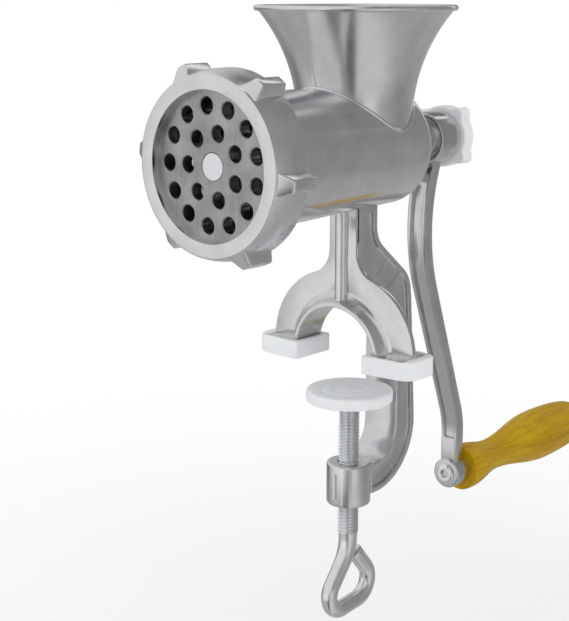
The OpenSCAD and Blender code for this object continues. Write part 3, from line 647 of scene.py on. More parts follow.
def frame_side(front=0.0, rear=0.0, nose=COLUMN_FRONT + 1):
    """Side view of the frame, drawn in from its inner edge and from its outer edge."""
    crown = (CROWN_REAR, ARCH_Z + ARCH_R - CROWN_R)
    return (
        [(JAW_START + front, JAW_Z - SPINE_DEPTH + rear)]
        + arc(corner, CORNER_R + SPINE_DEPTH - rear, -90, 0)
        + arc((s_low_y - S_CURVE_R, s_low_z), S_CURVE_R - rear, 0, S_CURVE_ANGLE)
        + arc((COLUMN_REAR + S_CURVE_R, S_TOP_Z), S_CURVE_R + rear, 180 + S_CURVE_ANGLE, 180)
        + [(COLUMN_REAR - rear, COLUMN_TOP - 1.5 * rear), (nose, COLUMN_TOP - 1.5 * rear)]
        + [(nose, ARCH_Z + ARCH_R + front)]
        + arc(crown, CROWN_R + front, 90, 0)
        + arc(corner, CORNER_R + front, 0, -90)
        + [(JAW_START + front, JAW_Z - front)])


print("frame outline:", len(frame_side()), "points")

# %% The C-shaped web with its side panels
PANEL_FRONT = 1.0
PANEL_REAR = 2.1
PANEL_DEPTH = 1.2
TAPER_LOW_Z = 20
TAPER_TOP_Z = 45
LINE_W = 0.5
LINE_H = 0.35
LINE_ROOT = 2
WEB_EDGE = 0.4
CROSS_LINES = (((7.9, 30.1), (15.0, 37.2)), ((14.2, 25.3), (21.9, 30.4)), ((20.2, 21.4), (25.5, 20.6)),
               ((23.5, -25.8), (28.0, -24.4)), ((14.3, -39.9), (19.6, -45.3)))


def narrowed(bm):
    """Moves both sides inwards from the spine's width to the column's, between two heights."""
    for height in (TAPER_LOW_Z, TAPER_TOP_Z):
        bmesh.ops.bisect_plane(bm, geom=bm.verts[:] + bm.edges[:] + bm.faces[:], plane_co=(0, 0, height),
                               plane_no=(0, 0, 1))
    for vert in bm.verts:
        share = min(1, max(0, (vert.co.z - TAPER_LOW_Z) / (TAPER_TOP_Z - TAPER_LOW_Z)))
        vert.co.x -= math.copysign(share * (SPINE_W - COLUMN_W), vert.co.x)
    return bm


def cross_line(start, end, side):
    """A thin raised line across a panel."""
    start, end = Vector(start), Vector(end)
    half = (end - start).orthogonal().normalized() * LINE_W / 2
    outline = [start + half, end + half, end - half, start - half]
    return narrowed(slab(outline, side * LINE_ROOT, side * (SPINE_W - PANEL_DEPTH + LINE_H), "X"))


web = narrowed(slab(frame_side(), -SPINE_W, SPINE_W, "X"))
panel = frame_side(PANEL_FRONT, PANEL_REAR, COLUMN_FRONT + 2)
for side in (-1, 1):
    web = carve(web, narrowed(slab(panel, side * (SPINE_W - PANEL_DEPTH), side * (SPINE_W + 3), "X")))
soften(tidy(web), WEB_EDGE)
lines = [cross_line(*ends, side) for ends in CROSS_LINES for side in (-1, 1)]
print("web:", len(web.faces), "faces")

# %% The arch in front, with its rim, rib and feet
ARCH_PLATE = 2.2
SHOULDER_R = 28
SHOULDER_X = 4
SHOULDER_Z = 5.7
FILLET_R = 10
RIM_W = 3.6
RIM_FRONT = -9.5
RIM_EDGE = 1.6
RIM_FOOT = 3.4
RIM_FILLET = 7
RIM_BLEND = 0.1
RIB_R = 2.4
RIB_Y = -5.4
FOOT_LOW = 2.9
FOOT_TOP = 6.4
FOOT_IN = 17.3
FOOT_W = 14.1
FOOT_D = 15.2
FOOT_Y = -3
FOOT_EDGE = 0.5

reach = SHOULDER_R + FILLET_R
fillet_x = COLUMN_W + FILLET_R
fillet_up = math.sqrt(reach ** 2 - (fillet_x - SHOULDER_X) ** 2)
touch = math.degrees(math.atan2(fillet_up, fillet_x - SHOULDER_X))
right_side = (
    [(ARCH_R, FOOT_LOW), (SHOULDER_X + SHOULDER_R, FOOT_LOW)]
    + arc((SHOULDER_X, SHOULDER_Z), SHOULDER_R, 0, touch)
    + arc((fillet_x, SHOULDER_Z + fillet_up), FILLET_R, 180 + touch, 180)
    + [(COLUMN_W, COLUMN_TOP)])
left_side = [(-x, z) for x, z in reversed(right_side)]
arch_outline = right_side + left_side + arc((0, ARCH_Z), ARCH_R, 180, 0)
rim_profile = eased([
    (ARCH_R, CROWN_REAR), (ARCH_R, RIM_FRONT, 0.4), (ARCH_R + RIM_EDGE, RIM_FRONT, 0.5),
    (ARCH_R + RIM_FOOT, COLUMN_FRONT - RIM_BLEND, 2.4), (ARCH_R + RIM_FILLET, COLUMN_FRONT + RIM_BLEND),
    (ARCH_R + RIM_FILLET, COLUMN_FRONT + 1), (ARCH_R + RIM_W, COLUMN_FRONT + 1),
    (ARCH_R + RIM_W, CROWN_REAR, 0.5)], 6)


def block(low, high):
    """A plain box between two corners, to be eased or built into a casting."""
    bm = bmesh.new()
    bmesh.ops.create_cube(bm, size=1)
    bmesh.ops.scale(bm, vec=Vector(high) - Vector(low), verts=bm.verts)
    bmesh.ops.translate(bm, vec=(Vector(high) + Vector(low)) / 2, verts=bm.verts)
    return bm


rib = lathe([(0, COLUMN_TOP), (RIB_R, COLUMN_TOP), (RIB_R, ARCH_Z + ARCH_R + 1), (0, ARCH_Z + ARCH_R + 1)],
            (0, RIB_Y, 0), "Z", 48)
arch_parts = [
    soften(slab(arch_outline, COLUMN_FRONT, COLUMN_FRONT + ARCH_PLATE, "Y"), WEB_EDGE),
    trim(lathe(rim_profile, (0, 0, ARCH_Z), "Y", 192), FOOT_LOW, -1),
    rib]
for sign in (-1, 1):
    foot_x = sign * (FOOT_IN + FOOT_W / 2)
    foot = block((foot_x - FOOT_W / 2, FOOT_Y - FOOT_D / 2, FOOT_LOW),
                 (foot_x + FOOT_W / 2, FOOT_Y + FOOT_D / 2, FOOT_TOP))
    arch_parts.append(soften(foot, FOOT_EDGE, 3))
print("arch parts:", len(arch_parts))

# %% The boss of the clamp screw, and the strip of barrel that the column grows from
SCREW_BOSS_R = 8.3
SCREW_BORE_R = 4.0
SCREW_BOSS_TOP = -39.2
SCREW_BOSS_LOW = -55.4
MARK_W = 1.2
MARK_H = 0.45
MARK_LOW = -52.1
MARK_TOP = -42.4
STRIP_FRONT = -14
STRIP_REAR = 17
STRIP_TOP = AXIS_Z - 14
STRIP_SINK_FRONT = 1.15
STRIP_SINK_REAR = 0.15

boss = lathe(eased([
    (SCREW_BORE_R, SCREW_BOSS_LOW, 0.5), (SCREW_BOSS_R, SCREW_BOSS_LOW, 1.4),
    (SCREW_BOSS_R, SCREW_BOSS_TOP, 0.9), (SCREW_BORE_R, SCREW_BOSS_TOP, 0.5)]), (0, 0, 0), "Z", 96)
boss_mark = block((-MARK_W / 2, -SCREW_BOSS_R - MARK_H, MARK_LOW), (MARK_W / 2, -SCREW_BOSS_R + 1, MARK_TOP))
strip = lathe([
    (BORE_R + 1, STRIP_FRONT), (BARREL_FRONT_R - STRIP_SINK_FRONT, STRIP_FRONT),
    (BARREL_REAR_R - STRIP_SINK_REAR, STRIP_REAR), (BORE_R + 1, STRIP_REAR)], (0, 0, AXIS_Z), "Y", 256)
trim(strip, STRIP_TOP, 1)
casting = gather(web, boss, boss_mark, strip, *lines, *arch_parts)
piece("clamp_frame", casting, "frame", "cast_aluminium", CAST_FRAME, "grinder_body", sharp=30)

# %% [markdown]
# ## The foot pads
# Two milky plastic shoes keep the feet from marking the table. Each is square towards the middle and
# round at its outer corners, with a socket that the foot stands in. The socket is cut from the block,
# and then all its edges are eased at once.

# %% Foot pads
PAD_SOLE = 2.8
PAD_WALL = 2.4
PAD_OUT = 35.75
PAD_CORNER = 6
PAD_INNER_CORNER = 1.6
PAD_TAPER = 1.6
PAD_EDGE = 0.6
SOCKET_OUT = 31.6
SOCKET_CORNER = 0.8

for side, sign in (("left", -1), ("right", 1)):
    low, high = box_mm(f"foot_pad_{side}")
    inner_x = low.x if sign > 0 else high.x
    outer_x, socket_in, socket_out = sign * PAD_OUT, inner_x + sign * PAD_WALL, sign * SOCKET_OUT
    outline = eased([
        (inner_x, low.y, PAD_INNER_CORNER), (outer_x, low.y + PAD_TAPER, PAD_CORNER),
        (outer_x, high.y - PAD_TAPER, PAD_CORNER), (inner_x, high.y, PAD_INNER_CORNER)], 10)
    socket = eased([
        (socket_in, low.y + PAD_WALL, SOCKET_CORNER), (socket_out, low.y + PAD_WALL, SOCKET_CORNER),
        (socket_out, high.y - PAD_WALL, SOCKET_CORNER), (socket_in, high.y - PAD_WALL, SOCKET_CORNER)])
    pad = carve(slab(outline, 0, high.z, "Z"), slab(socket, PAD_SOLE, high.z + 1, "Z"))
    soften(tidy(pad), PAD_EDGE, 3, 0.9)
    piece(f"foot_pad_{side}_shoe", pad, "frame", "white_plastic", PLASTIC, f"foot_pad_{side}")

# %% [markdown]
# ## The ring nut
# The nut that holds the plate is turned from a casting: a wide satin face with a narrow bevel, and six
# lugs for the fingers. Each lug is a wedge whose front slopes back, so it comes to a blunt point.

# %% Ring nut
NUT_R = 31
NUT_OPENING_R = 24.5
NUT_LIP = 3
NUT_BEVEL = 1.5
NUT_SHOULDER = 4.4
NUT_THREAD_R = 28.98
LUGS = 6
LUG_TURN = 36
LUG_H = 3.4
LUG_ROOT = 4.1
LUG_TOP = 2.0
LUG_STEP = 0.5
LUG_SLOPE = 3.6
LUG_EDGE = 0.7

nut_front, nut_rear = nut_low.y, nut_high.y
ring = lathe(eased([
    (NUT_OPENING_R, nut_front, 0.35), (NUT_R - NUT_BEVEL, nut_front, 0.5),
    (NUT_R, nut_front + NUT_SHOULDER, 3.2),
    (NUT_R, nut_rear, 0.6), (NUT_THREAD_R, nut_rear, 0.3), (NUT_THREAD_R, nut_front + NUT_LIP),
    (NUT_OPENING_R, nut_front + NUT_LIP)]), (0, 0, AXIS_Z), "Y", 256)
lugs = []
for i in range(LUGS):
    lug = slab([(-LUG_ROOT, NUT_R - 2), (LUG_ROOT, NUT_R - 2), (LUG_TOP, NUT_R + LUG_H),
                (-LUG_TOP, NUT_R + LUG_H)], nut_front, nut_rear, "Y")
    for vert in lug.verts:
        if vert.co.y < nut_front + 1:
            vert.co.y += LUG_STEP if vert.co.z < NUT_R else LUG_SLOPE
    bmesh.ops.bevel(lug, geom=lug.edges[:], affect="EDGES", offset=LUG_EDGE, segments=3, profile=0.5,
                    material=-1, clamp_overlap=True)
    spin = Matrix.Rotation(math.radians(360 / LUGS * i + LUG_TURN), 4, "Y")
    bmesh.ops.transform(lug, matrix=Matrix.Translation((0, 0, AXIS_Z)) @ spin, verts=lug.verts)
    lugs.append(lug)
piece("ring_nut_turned", gather(ring, *lugs), "nut", "nut_aluminium", NUT_METAL, "ring_nut", sharp=30)

# %% [markdown]
# ## The grinding plate
# A disc of ground steel with one ring of thirteen holes and one of seven. Every hole has a small
# chamfer, which shows as a thin bright rim. The drill is a lathe shape that is wider at both ends, and
# all the holes are cut at once.

# %% Grinding plate
PLATE_R = 26.75
HOLE_R = 2.7
HOLE_CHAMFER = 0.35
HOLE_RINGS = ((13, 19.5), (7, 10.9))
PIN_HOLE_R = 4.48


def drill(radius, x, z):
    """A cutter for one hole, with a countersink at both faces of the plate."""
    wide = radius + HOLE_CHAMFER + 1
    front, rear = plate_low.y, plate_high.y
    return lathe([
        (0, front - 1), (wide, front - 1), (radius, front + HOLE_CHAMFER), (radius, rear - HOLE_CHAMFER),
        (wide, rear + 1), (0, rear + 1)], (x, 0, z), "Y", 40)


disc = lathe(eased([(0, plate_low.y), (PLATE_R, plate_low.y, 0.4), (PLATE_R, plate_high.y, 0.4),
                    (0, plate_high.y)]), (0, 0, AXIS_Z), "Y", 192)
drills = [drill(PIN_HOLE_R, 0, AXIS_Z)]
for count, pitch_r in HOLE_RINGS:
    for i in range(count):
        angle = math.tau * (i + 0.5) / count
        drills.append(drill(HOLE_R, pitch_r * math.cos(angle), AXIS_Z - pitch_r * math.sin(angle)))
plate = carve(disc, gather(*drills))
piece("grinding_plate_drilled", plate, "plate", "plate_steel", PLATE_METAL, "grinding_plate")

# %% [markdown]
# ## The crank arm
# The arm is cast with the hub at its top and the eye at its foot. Seen from the side it bends away
# from the table and comes back upright, so its edges are two arcs joined by a straight. A shallow
# channel runs down its front. The hub and the eye are turned, and the arm runs into both.

# %% Crank arm
HUB_FRONT = 42.1
HUB_REAR = 54.6
HUB_R = 10
NOSE_R = 8
NOSE_FRONT = 36.9
ARM_T = 5.2
ARM_W_TOP = 8.8
ARM_W_LOW = 7.3
ARM_SLANT = 20.5
BEND_Y = 40
BEND_Z = 44
BEND_R = 72
LOW_R = 30
LOW_STRAIGHT = 17
EYE_R = 6.2
EYE_LEN = 8
EYE_STEP = 1.4
GROOVE_W = 4.6
GROOVE_DEPTH = 1.5
GROOVE_TOP = AXIS_Z - HUB_R - 7
GROOVE_LOW = HANDLE_Z + EYE_R + 9
HUB_BORE_R = 5
ARM_EDGE = 0.45

slant = math.radians(ARM_SLANT)
low_start_z = HANDLE_Z + LOW_STRAIGHT + LOW_R * math.sin(slant)
bend_end_y = BEND_Y + BEND_R * (1 - math.cos(slant))
bend_end_z = BEND_Z - BEND_R * math.sin(slant)
arm_low_y = bend_end_y + (bend_end_z - low_start_z) * math.tan(slant) + LOW_R * (1 - math.cos(slant))
eye_y = arm_low_y - EYE_STEP


def arm_edge(depth):
    """Side view of the arm at a depth behind its front face, from the hub down to the eye."""
    top_angle = math.degrees(math.asin((AXIS_Z - BEND_Z) / BEND_R))
    upper = arc((BEND_Y + BEND_R, BEND_Z), BEND_R - depth, 180 - top_angle, 180 + ARM_SLANT, 1.0)
    lower = arc((arm_low_y - LOW_R, HANDLE_Z + LOW_STRAIGHT), LOW_R + depth, ARM_SLANT, 0, 1.5)
    return upper + lower + [(arm_low_y + depth, HANDLE_Z)]


def arm_slab(front, back, width):
    """A slice of the arm between two depths."""
    return slab(arm_edge(front) + arm_edge(back)[::-1], -width / 2, width / 2, "X")


arm = arm_slab(0, ARM_T, ARM_W_TOP)
for vert in arm.verts:
    vert.co.x *= 1 - (1 - ARM_W_LOW / ARM_W_TOP) * (AXIS_Z - vert.co.z) / (AXIS_Z - HANDLE_Z)
channel = arm_slab(-1, GROOVE_DEPTH, GROOVE_W)
tidy(trim(trim(channel, GROOVE_TOP, 1), GROOVE_LOW, -1))
hub = lathe(eased([
    (HUB_BORE_R, NOSE_FRONT, 0.3), (NOSE_R, NOSE_FRONT, 0.5), (NOSE_R, HUB_FRONT), (HUB_R, HUB_FRONT, 0.8),
    (HUB_R, HUB_REAR, 0.5), (HUB_BORE_R, HUB_REAR, 0.3)]), (0, 0, AXIS_Z), "Y", 160)
eye = lathe(eased([(0, eye_y), (EYE_R, eye_y, 1.2), (EYE_R, eye_y + EYE_LEN, 0.8), (0, eye_y + EYE_LEN)]),
            (0, 0, HANDLE_Z), "Y", 128)
crank = gather(soften(tidy(carve(arm, channel)), ARM_EDGE), hub, eye)
piece("crank_arm_cast", crank, "crank", "crank_aluminium", CRANK_METAL, "crank_arm", sharp=30)

# %% [markdown]
# ## The rivet and the washers of the handle
# The grip turns on an axle that is riveted in the arm's eye. At the front the axle is a tube whose end
# is rolled outwards, so it shows as a bright ring with a dark hollow in the middle.

# %% Handle axle
RIVET_T = 1.3
RIVET_R = 4.5
RIVET_BORE = 1.7
AXLE_R = 3
HEAD_R = 5.6
HEAD_T = 2
axle_rear = box_mm("handle_axle")[1].y
head_front = axle_rear - HEAD_T
axle = lathe(eased([
    (RIVET_BORE, eye_y - RIVET_T, 0.4), (AXLE_R + 0.4, eye_y - RIVET_T, 0.5), (RIVET_R, eye_y, 0.9),
    (AXLE_R, eye_y), (AXLE_R, head_front), (HEAD_R, head_front, 0.3), (HEAD_R, axle_rear, 0.9),
    (0, axle_rear), (0, eye_y + EYE_LEN), (RIVET_BORE, eye_y + EYE_LEN)]), (0, 0, HANDLE_Z), "Y", 96)
piece("handle_axle_turned", axle, "crank", "zinc_steel", ZINC, "handle_axle")

# %% [markdown]
# ## The wooden grip
# The grip is turned from one piece of beech: a collar beside the crank, a slim neck, a full belly and a
# rounded end with a recess for the rivet's head. Cosine curves join the neck to the collar and to the
# belly, because a turner's gouge leaves no corners there.

# %% Wooden grip
COLLAR_GRIP_R = 9.4
COLLAR_GRIP_LEN = 3
GRIP_NECK_R = 6.6
GRIP_BELLY_R = 11
GRIP_END_R = 8
GRIP_BORE_R = 3.08
RECESS_R = 6
RECESS_DEPTH = 5.1
NECK_AT = 0.26
BELLY_AT = 0.68

grip_front, grip_rear = grip_low.y, grip_high.y
grip_len = grip_rear - grip_front


def swell(start, end, r0, r1, count=24):
    """Points of a smooth change of radius between two places along the grip."""
    steps = [i / count for i in range(1, count + 1)]
    return [(r0 + (r1 - r0) * (1 - math.cos(math.pi * t)) / 2, start + (end - start) * t) for t in steps]


neck_y = grip_front + NECK_AT * grip_len
belly_y = grip_front + BELLY_AT * grip_len
collar_end = (COLLAR_GRIP_R, grip_front + COLLAR_GRIP_LEN)
end_curve = [(GRIP_END_R + (GRIP_BELLY_R - GRIP_END_R) * math.cos(t),
              belly_y + (grip_rear - belly_y) * math.sin(t))
             for t in (math.radians(a) for a in range(3, 88, 3))]
grip = lathe(
    eased([(GRIP_BORE_R, grip_rear - RECESS_DEPTH), (GRIP_BORE_R, grip_front, 0.3),
           (COLLAR_GRIP_R, grip_front, 1.0), collar_end])
    + swell(collar_end[1], neck_y, COLLAR_GRIP_R, GRIP_NECK_R)
    + swell(neck_y, belly_y, GRIP_NECK_R, GRIP_BELLY_R)
    + end_curve
    + [(GRIP_END_R - 0.3, grip_rear - 0.1), (GRIP_END_R - 1.2, grip_rear),
       (RECESS_R + 0.3, grip_rear - 0.1), (RECESS_R, grip_rear - 0.5), (RECESS_R, grip_rear - RECESS_DEPTH)],
    (0, 0, HANDLE_Z), "Y", 160)
piece("handle_grip_turned", grip, "grip", "varnished_wood", WOOD, "handle_grip")

# %% [markdown]
# ## The knob
# A plastic knob holds the crank on the auger. Its outline is a circle with four narrow finger lugs that
# end in blunt tips. That is easy to write in polar form, where the distance from the axis depends only
# on the angle from the nearest lug.

# %% Knob
KNOB_R = 11.7
KNOB_LUGS = 4
KNOB_REACH = 14
KNOB_TURN = math.radians(5)
KNOB_EDGE = 1.0
KNOB_STEPS = 240
LUG_TIP_HALF = math.radians(4)
LUG_ROOT_HALF = math.radians(16)


def knob_radius(angle):
    """How far the knob's outline is from its axis at an angle in radians."""
    pitch = math.tau / KNOB_LUGS
    off = abs((angle - KNOB_TURN) % pitch - pitch / 2)
    share = min(1, max(0, (LUG_ROOT_HALF - off) / (LUG_ROOT_HALF - LUG_TIP_HALF)))
    return KNOB_R + (KNOB_REACH - KNOB_R) * share


angles = [math.tau * i / KNOB_STEPS for i in range(KNOB_STEPS)]
outline = [(knob_radius(a) * math.cos(a), AXIS_Z + knob_radius(a) * math.sin(a)) for a in angles]
knob = slab(outline, knob_low.y, knob_high.y, "Y")
rims = [e for e in knob.edges if len(e.link_faces) == 2 and max(len(f.verts) for f in e.link_faces) > 8]
bmesh.ops.bevel(knob, geom=rims, affect="EDGES", offset=KNOB_EDGE, segments=4, profile=0.5, material=-1,
                clamp_overlap=True)
piece("crank_knob_moulded", knob, "knob", "white_plastic", PLASTIC, "crank_knob", sharp=40)

# %% [markdown]
# ## The clamp cap
# A round plastic cap sits on the screw's end and presses on the table from below. Its rim is soft, and
# the mould has left two faint rings in its top.

# %% Clamp cap
CAP_R = 16.1
HOLLOW_R = 12.6
HOLLOW_DEPTH = 1.6
SEAT_R = 4.4
SEAT_DEPTH = 2.9
RING_RADII = (10.5, 5.5)
RING_HALF = 0.5
RING_DEPTH = 0.18

rings = []
for ring_r in RING_RADII:
    rings += [(ring_r + RING_HALF, cap_high.z), (ring_r, cap_high.z - RING_DEPTH),
              (ring_r - RING_HALF, cap_high.z)]
hollow_z, seat_z = cap_low.z + HOLLOW_DEPTH, cap_low.z + SEAT_DEPTH
cap = lathe(eased([
    (0, seat_z), (SEAT_R, seat_z), (SEAT_R, hollow_z), (HOLLOW_R, hollow_z),
    (HOLLOW_R, cap_low.z, 0.3), (CAP_R, cap_low.z, 1.0), (CAP_R, cap_high.z, 1.2)], 6)
    + rings + [(0, cap_high.z)], (0, 0, 0), "Z", 192)
piece("clamp_cap_moulded", cap, "cap", "white_plastic", PLASTIC, "clamp_cap")

# %% [markdown]
# ## The clamp screw
# The thread is a true helix: one tooth's profile is spun round the axis and rises by one pitch a turn,
# so the end of each turn meets the start of the next. Below it the rod is bent into an eye for the
# fingers. The rod is a circle swept along arcs and straights in the side plane, and a thin pin at the
# top reaches into the cap.

# %% Thread
THREAD_R = 3.9
THREAD_ROOT = 3.15
PITCH = 1.25
THREAD_TOP = -15.4
THREAD_LOW = -67.4
TURN_STEPS = 40
ROOT_FLAT = 0.12
CREST_HALF = 0.075
CREST_ROUND = 0.05

turns = math.ceil((THREAD_TOP - THREAD_LOW) / PITCH) + 1
thread = bmesh.new()
tooth = [(THREAD_ROOT, 0), (THREAD_ROOT, ROOT_FLAT), (THREAD_R - CREST_ROUND, PITCH / 2 - CREST_HALF),
         (THREAD_R, PITCH / 2), (THREAD_R - CREST_ROUND, PITCH / 2 + CREST_HALF),
         (THREAD_ROOT, PITCH - ROOT_FLAT), (THREAD_ROOT, PITCH)]
verts = [thread.verts.new((r, 0, THREAD_LOW - PITCH + z)) for r, z in tooth]
edges = [thread.edges.new(pair) for pair in zip(verts, verts[1:])]
bmesh.ops.spin(thread, geom=verts + edges, cent=(0, 0, 0), axis=(0, 0, 1), dvec=(0, 0, PITCH / TURN_STEPS),
               angle=math.tau * turns, steps=turns * TURN_STEPS, use_merge=False, use_duplicate=False)
bmesh.ops.remove_doubles(thread, verts=thread.verts, dist=0.001)
trim(trim(thread, THREAD_TOP, 1), THREAD_LOW, -1)
bmesh.ops.recalc_face_normals(thread, faces=thread.faces)
print("thread:", turns, "turns,", len(thread.faces), "faces")

# %% Eye of the screw
ROD_R = 3.1
ROD_START = THREAD_LOW + 0.5
SHANK_R = 3.6
SHANK_TAPER = 0.035
SWING_Z = THREAD_LOW - 1.8
SWING_R = 16
SWING_ANGLE = 39
SIDE_LEN = 9.4
EYE_BEND_R = 6.65
BASE_SLOPE = 4.5
BASE_LEN = 9.5
CORNER_BEND_R = 7.4
TIP_SLOPE = 130
TIP_LEN = 10.9
TIP_EASE = ((0.25, 0.12), (0.4, 0.4))
BEND_STEP = 4
ROD_STEP = 1.5
PIN_R = 2.6


def heading(angle):
    """A direction in the side plane at an angle in degrees."""
    return Vector((math.cos(math.radians(angle)), math.sin(math.radians(angle))))


def rod_path():
    """Places, headings and radii along the bent rod, from the thread to the tip, in the side plane."""
    place, angle = Vector((0, ROD_START)), -90
    path = [(place.copy(), angle)]
    bends = ((0, 0, ROD_START - SWING_Z), (SWING_R, -SWING_ANGLE, SIDE_LEN),
             (EYE_BEND_R, 90 + SWING_ANGLE + BASE_SLOPE, BASE_LEN),
             (CORNER_BEND_R, TIP_SLOPE - BASE_SLOPE, TIP_LEN))
    for radius, bend, straight in bends:
        count = max(1, math.ceil(abs(bend) / BEND_STEP))
        for _ in range(count if bend else 0):
            chord = 2 * radius * math.sin(math.radians(abs(bend) / count / 2))
            place = place + heading(angle + bend / count / 2) * chord
            angle += bend / count
            path.append((place.copy(), angle))
        steps = max(1, round(straight / ROD_STEP))
        for _ in range(steps):
            place = place + heading(angle) * straight / steps
            path.append((place.copy(), angle))
    return path


def station(place, angle, radius):
    """A matrix that stands a unit circle across the rod at a place."""
    turn = Matrix.Rotation(math.radians(angle - 90), 4, "X")
    return Matrix.Translation((0, place.x, place.y)) @ turn @ Matrix.Scale(radius, 4)


path = rod_path()
stations = []
for i, (place, angle) in enumerate(path):
    stations.append(station(place, angle, max(ROD_R, SHANK_R - SHANK_TAPER * i)))
last_place, last_angle = path[-1]
for ahead, less in TIP_EASE:
    stations.append(station(last_place + heading(last_angle) * ahead, last_angle, ROD_R - less))
rod = sweep(arc((0, 0), 1, 0, 352.5, 7.5), stations)
pin = lathe(eased([(0, screw_high.z), (PIN_R, screw_high.z, 0.2), (PIN_R, THREAD_TOP - 1),
                   (0, THREAD_TOP - 1)]), (0, 0, 0), "Z", 48)
piece("clamp_screw_threaded", gather(thread, rod, pin), "screw", "zinc_steel", ZINC, "clamp_screw")

# %% [markdown]
# ## The auger
# The auger is a core with one flight wound round it. Its section is a circle that swells out to the
# flight on one side, and the section turns as it moves along the barrel, one full turn per pitch.

# %% Auger
AUGER_PITCH = 19
CORE_R = 8
FLIGHT_R = 17.9
FLIGHT_ROOT = 110
FLIGHT_TIP = 46
FLIGHT_HOLLOW = 1.3
AUGER_STEPS = 150
JOURNAL_R = 6.5
SQUARE = 9
AUGER_FRONT = -58.9
AUGER_REAR = 15.0
auger_end = box_mm("auger")[1].y


def flight_radius(angle):
    """Radius of the auger's section at an angle in degrees from the middle of its flight."""
    off = abs((angle + 180) % 360 - 180)
    share = min(1, max(0, (FLIGHT_ROOT / 2 - off) / ((FLIGHT_ROOT - FLIGHT_TIP) / 2)))
    return CORE_R + (FLIGHT_R - CORE_R) * share ** FLIGHT_HOLLOW


section = [tuple(heading(a) * flight_radius(a)) for a in range(0, 360, 4)]
length = AUGER_REAR - AUGER_FRONT
lie_down = Matrix.Rotation(math.radians(-90), 4, "X")
stations = []
for i in range(AUGER_STEPS + 1):
    along = AUGER_FRONT + length * i / AUGER_STEPS
    turned = Matrix.Rotation(math.tau * (along - AUGER_FRONT) / AUGER_PITCH, 4, "Z")
    stations.append(Matrix.Translation((0, along, AXIS_Z)) @ lie_down @ turned)
flight = sweep(section, stations)
journal = lathe(eased([(0, AUGER_REAR - 1), (JOURNAL_R, AUGER_REAR - 1), (JOURNAL_R, NOSE_FRONT - 0.1, 0.3),
                       (0, NOSE_FRONT - 0.1)]), (0, 0, AXIS_Z), "Y", 96)
square = block((-SQUARE / 2, NOSE_FRONT - 1, AXIS_Z - SQUARE / 2),
               (SQUARE / 2, auger_end, AXIS_Z + SQUARE / 2))
auger = gather(flight, journal, square)
piece("auger_wound", auger, "crank", "auger_aluminium", SHADED_AUGER_METAL, "auger", sharp=40)

# %% [markdown]
# ## Small pieces that keep their own shape
# The knife, the studs, the key pin, the bush, the washers and the clamp's seat plate already have the
# right shape in the frame, so only their material changes.

# %% Materials of the small pieces
FINISHES = {
    "plate_key_pin": ZINC, "rear_bush": BRONZE, "thrust_washer": FIBRE, "knife": BLADE_METAL,
    "auger_stud": PIN_METAL_SHADED, "knob_stud": ZINC, "axle_washer": ZINC, "end_washer": ZINC,
    "clamp_plate": ZINC}
for node, material in FINISHES.items():
    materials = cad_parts[node].data.materials
    materials.clear()
    materials.append(material)
print("small pieces dressed:", len(FINISHES))

# %% [markdown]
# ## The floor
# The floor is pale and lies just under the lowest place that the screw's eye can reach. It fades into
# the white around it, because its shader mixes paper with a transparent one as the distance grows. Rays
# that left a shiny surface pass through it, so that the metal mirrors the room alone.

# %% Floor
EYE_TRAVEL = 20
FLOOR_GAP = 0.05
FLOOR_Z = screw_low.z - EYE_TRAVEL - FLOOR_GAP
FLOOR_FADE = 420
FADE_START = 0.2 * FLOOR_FADE
FLOOR_PALE = 0.42

floor = bmesh.new()
bmesh.ops.create_circle(floor, cap_ends=True, radius=4 * FLOOR_FADE * MM, segments=96,
                        matrix=Matrix.Translation((0, 0, FLOOR_Z * MM)))
floor_mesh = bpy.data.meshes.new("studio_floor")
floor.to_mesh(floor_mesh)
floor.free()
floor_obj = bpy.data.objects.new("studio_floor", floor_mesh)
bpy.context.scene.collection.objects.link(floor_obj)
floor_obj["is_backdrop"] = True

floor_paint = surface("studio_paper", (0.90, 0.90, 0.905), 0.9, metallic=0.0)
spot = floor_paint.place()
far = floor_paint.node("ShaderNodeVectorMath", {"operation": "LENGTH"}, {0: spot}, 1)
fade = floor_paint.node("ShaderNodeMapRange", {"interpolation_type": "SMOOTHSTEP"}, {
    "Value": far, "From Min": FADE_START, "From Max": FLOOR_FADE, "To Min": FLOOR_PALE, "To Max": 1.0})
glossy = floor_paint.node("ShaderNodeLightPath", output="Is Glossy Ray")
clear = floor_paint.node("ShaderNodeBsdfTransparent")
paper = Wire(floor_paint, floor_paint.shader.outputs[0])
away = fade.maths("MAXIMUM", fade, glossy)
mixed = floor_paint.node("ShaderNodeMixShader", None, {0: away, 1: paper, 2: clear})
floor_paint.feed(floor_paint.tree.nodes["Material Output"].inputs["Surface"], mixed)
floor_mesh.materials.append(floor_paint.owner)
print(f"floor at {FLOOR_Z:.1f} mm")

# %% [markdown]
# ## The room that the metal mirrors
# Bare metal shows mostly what is around it, so the studio matters as much as the material. Each kind of
# ray gets its own room: the camera sees plain white, matt surfaces get an even grey light, and shiny
# ones mirror a room drawn with ramps, whose bright and dark bands give the barrel its soft gradients.

# %% World
AMBIENT = 0.82
FRONT_LEFT = (-0.655, -0.756, 0.0)

world = bpy.data.worlds.new("studio")
bpy.context.scene.world = world
room = Paint(world)
direction = room.node("ShaderNodeTexCoord", output="Generated")
towards = room.node("ShaderNodeVectorMath", {"operation": "DOT_PRODUCT"}, {0: direction, 1: FRONT_LEFT}, 1)
split = room.node("ShaderNodeSeparateXYZ", None, {0: direction}).socket.node
east, north, height = (Wire(room, split.outputs[name]) for name in "XYZ")
azimuth = north.maths("ARCTAN2", north, east) * (1 / math.tau) + 0.5
rise = height * 0.5 + 0.5


def grey(level):
    """The colour of a grey level in the room, as a ramp's stop takes it."""
    return (level, level, level)


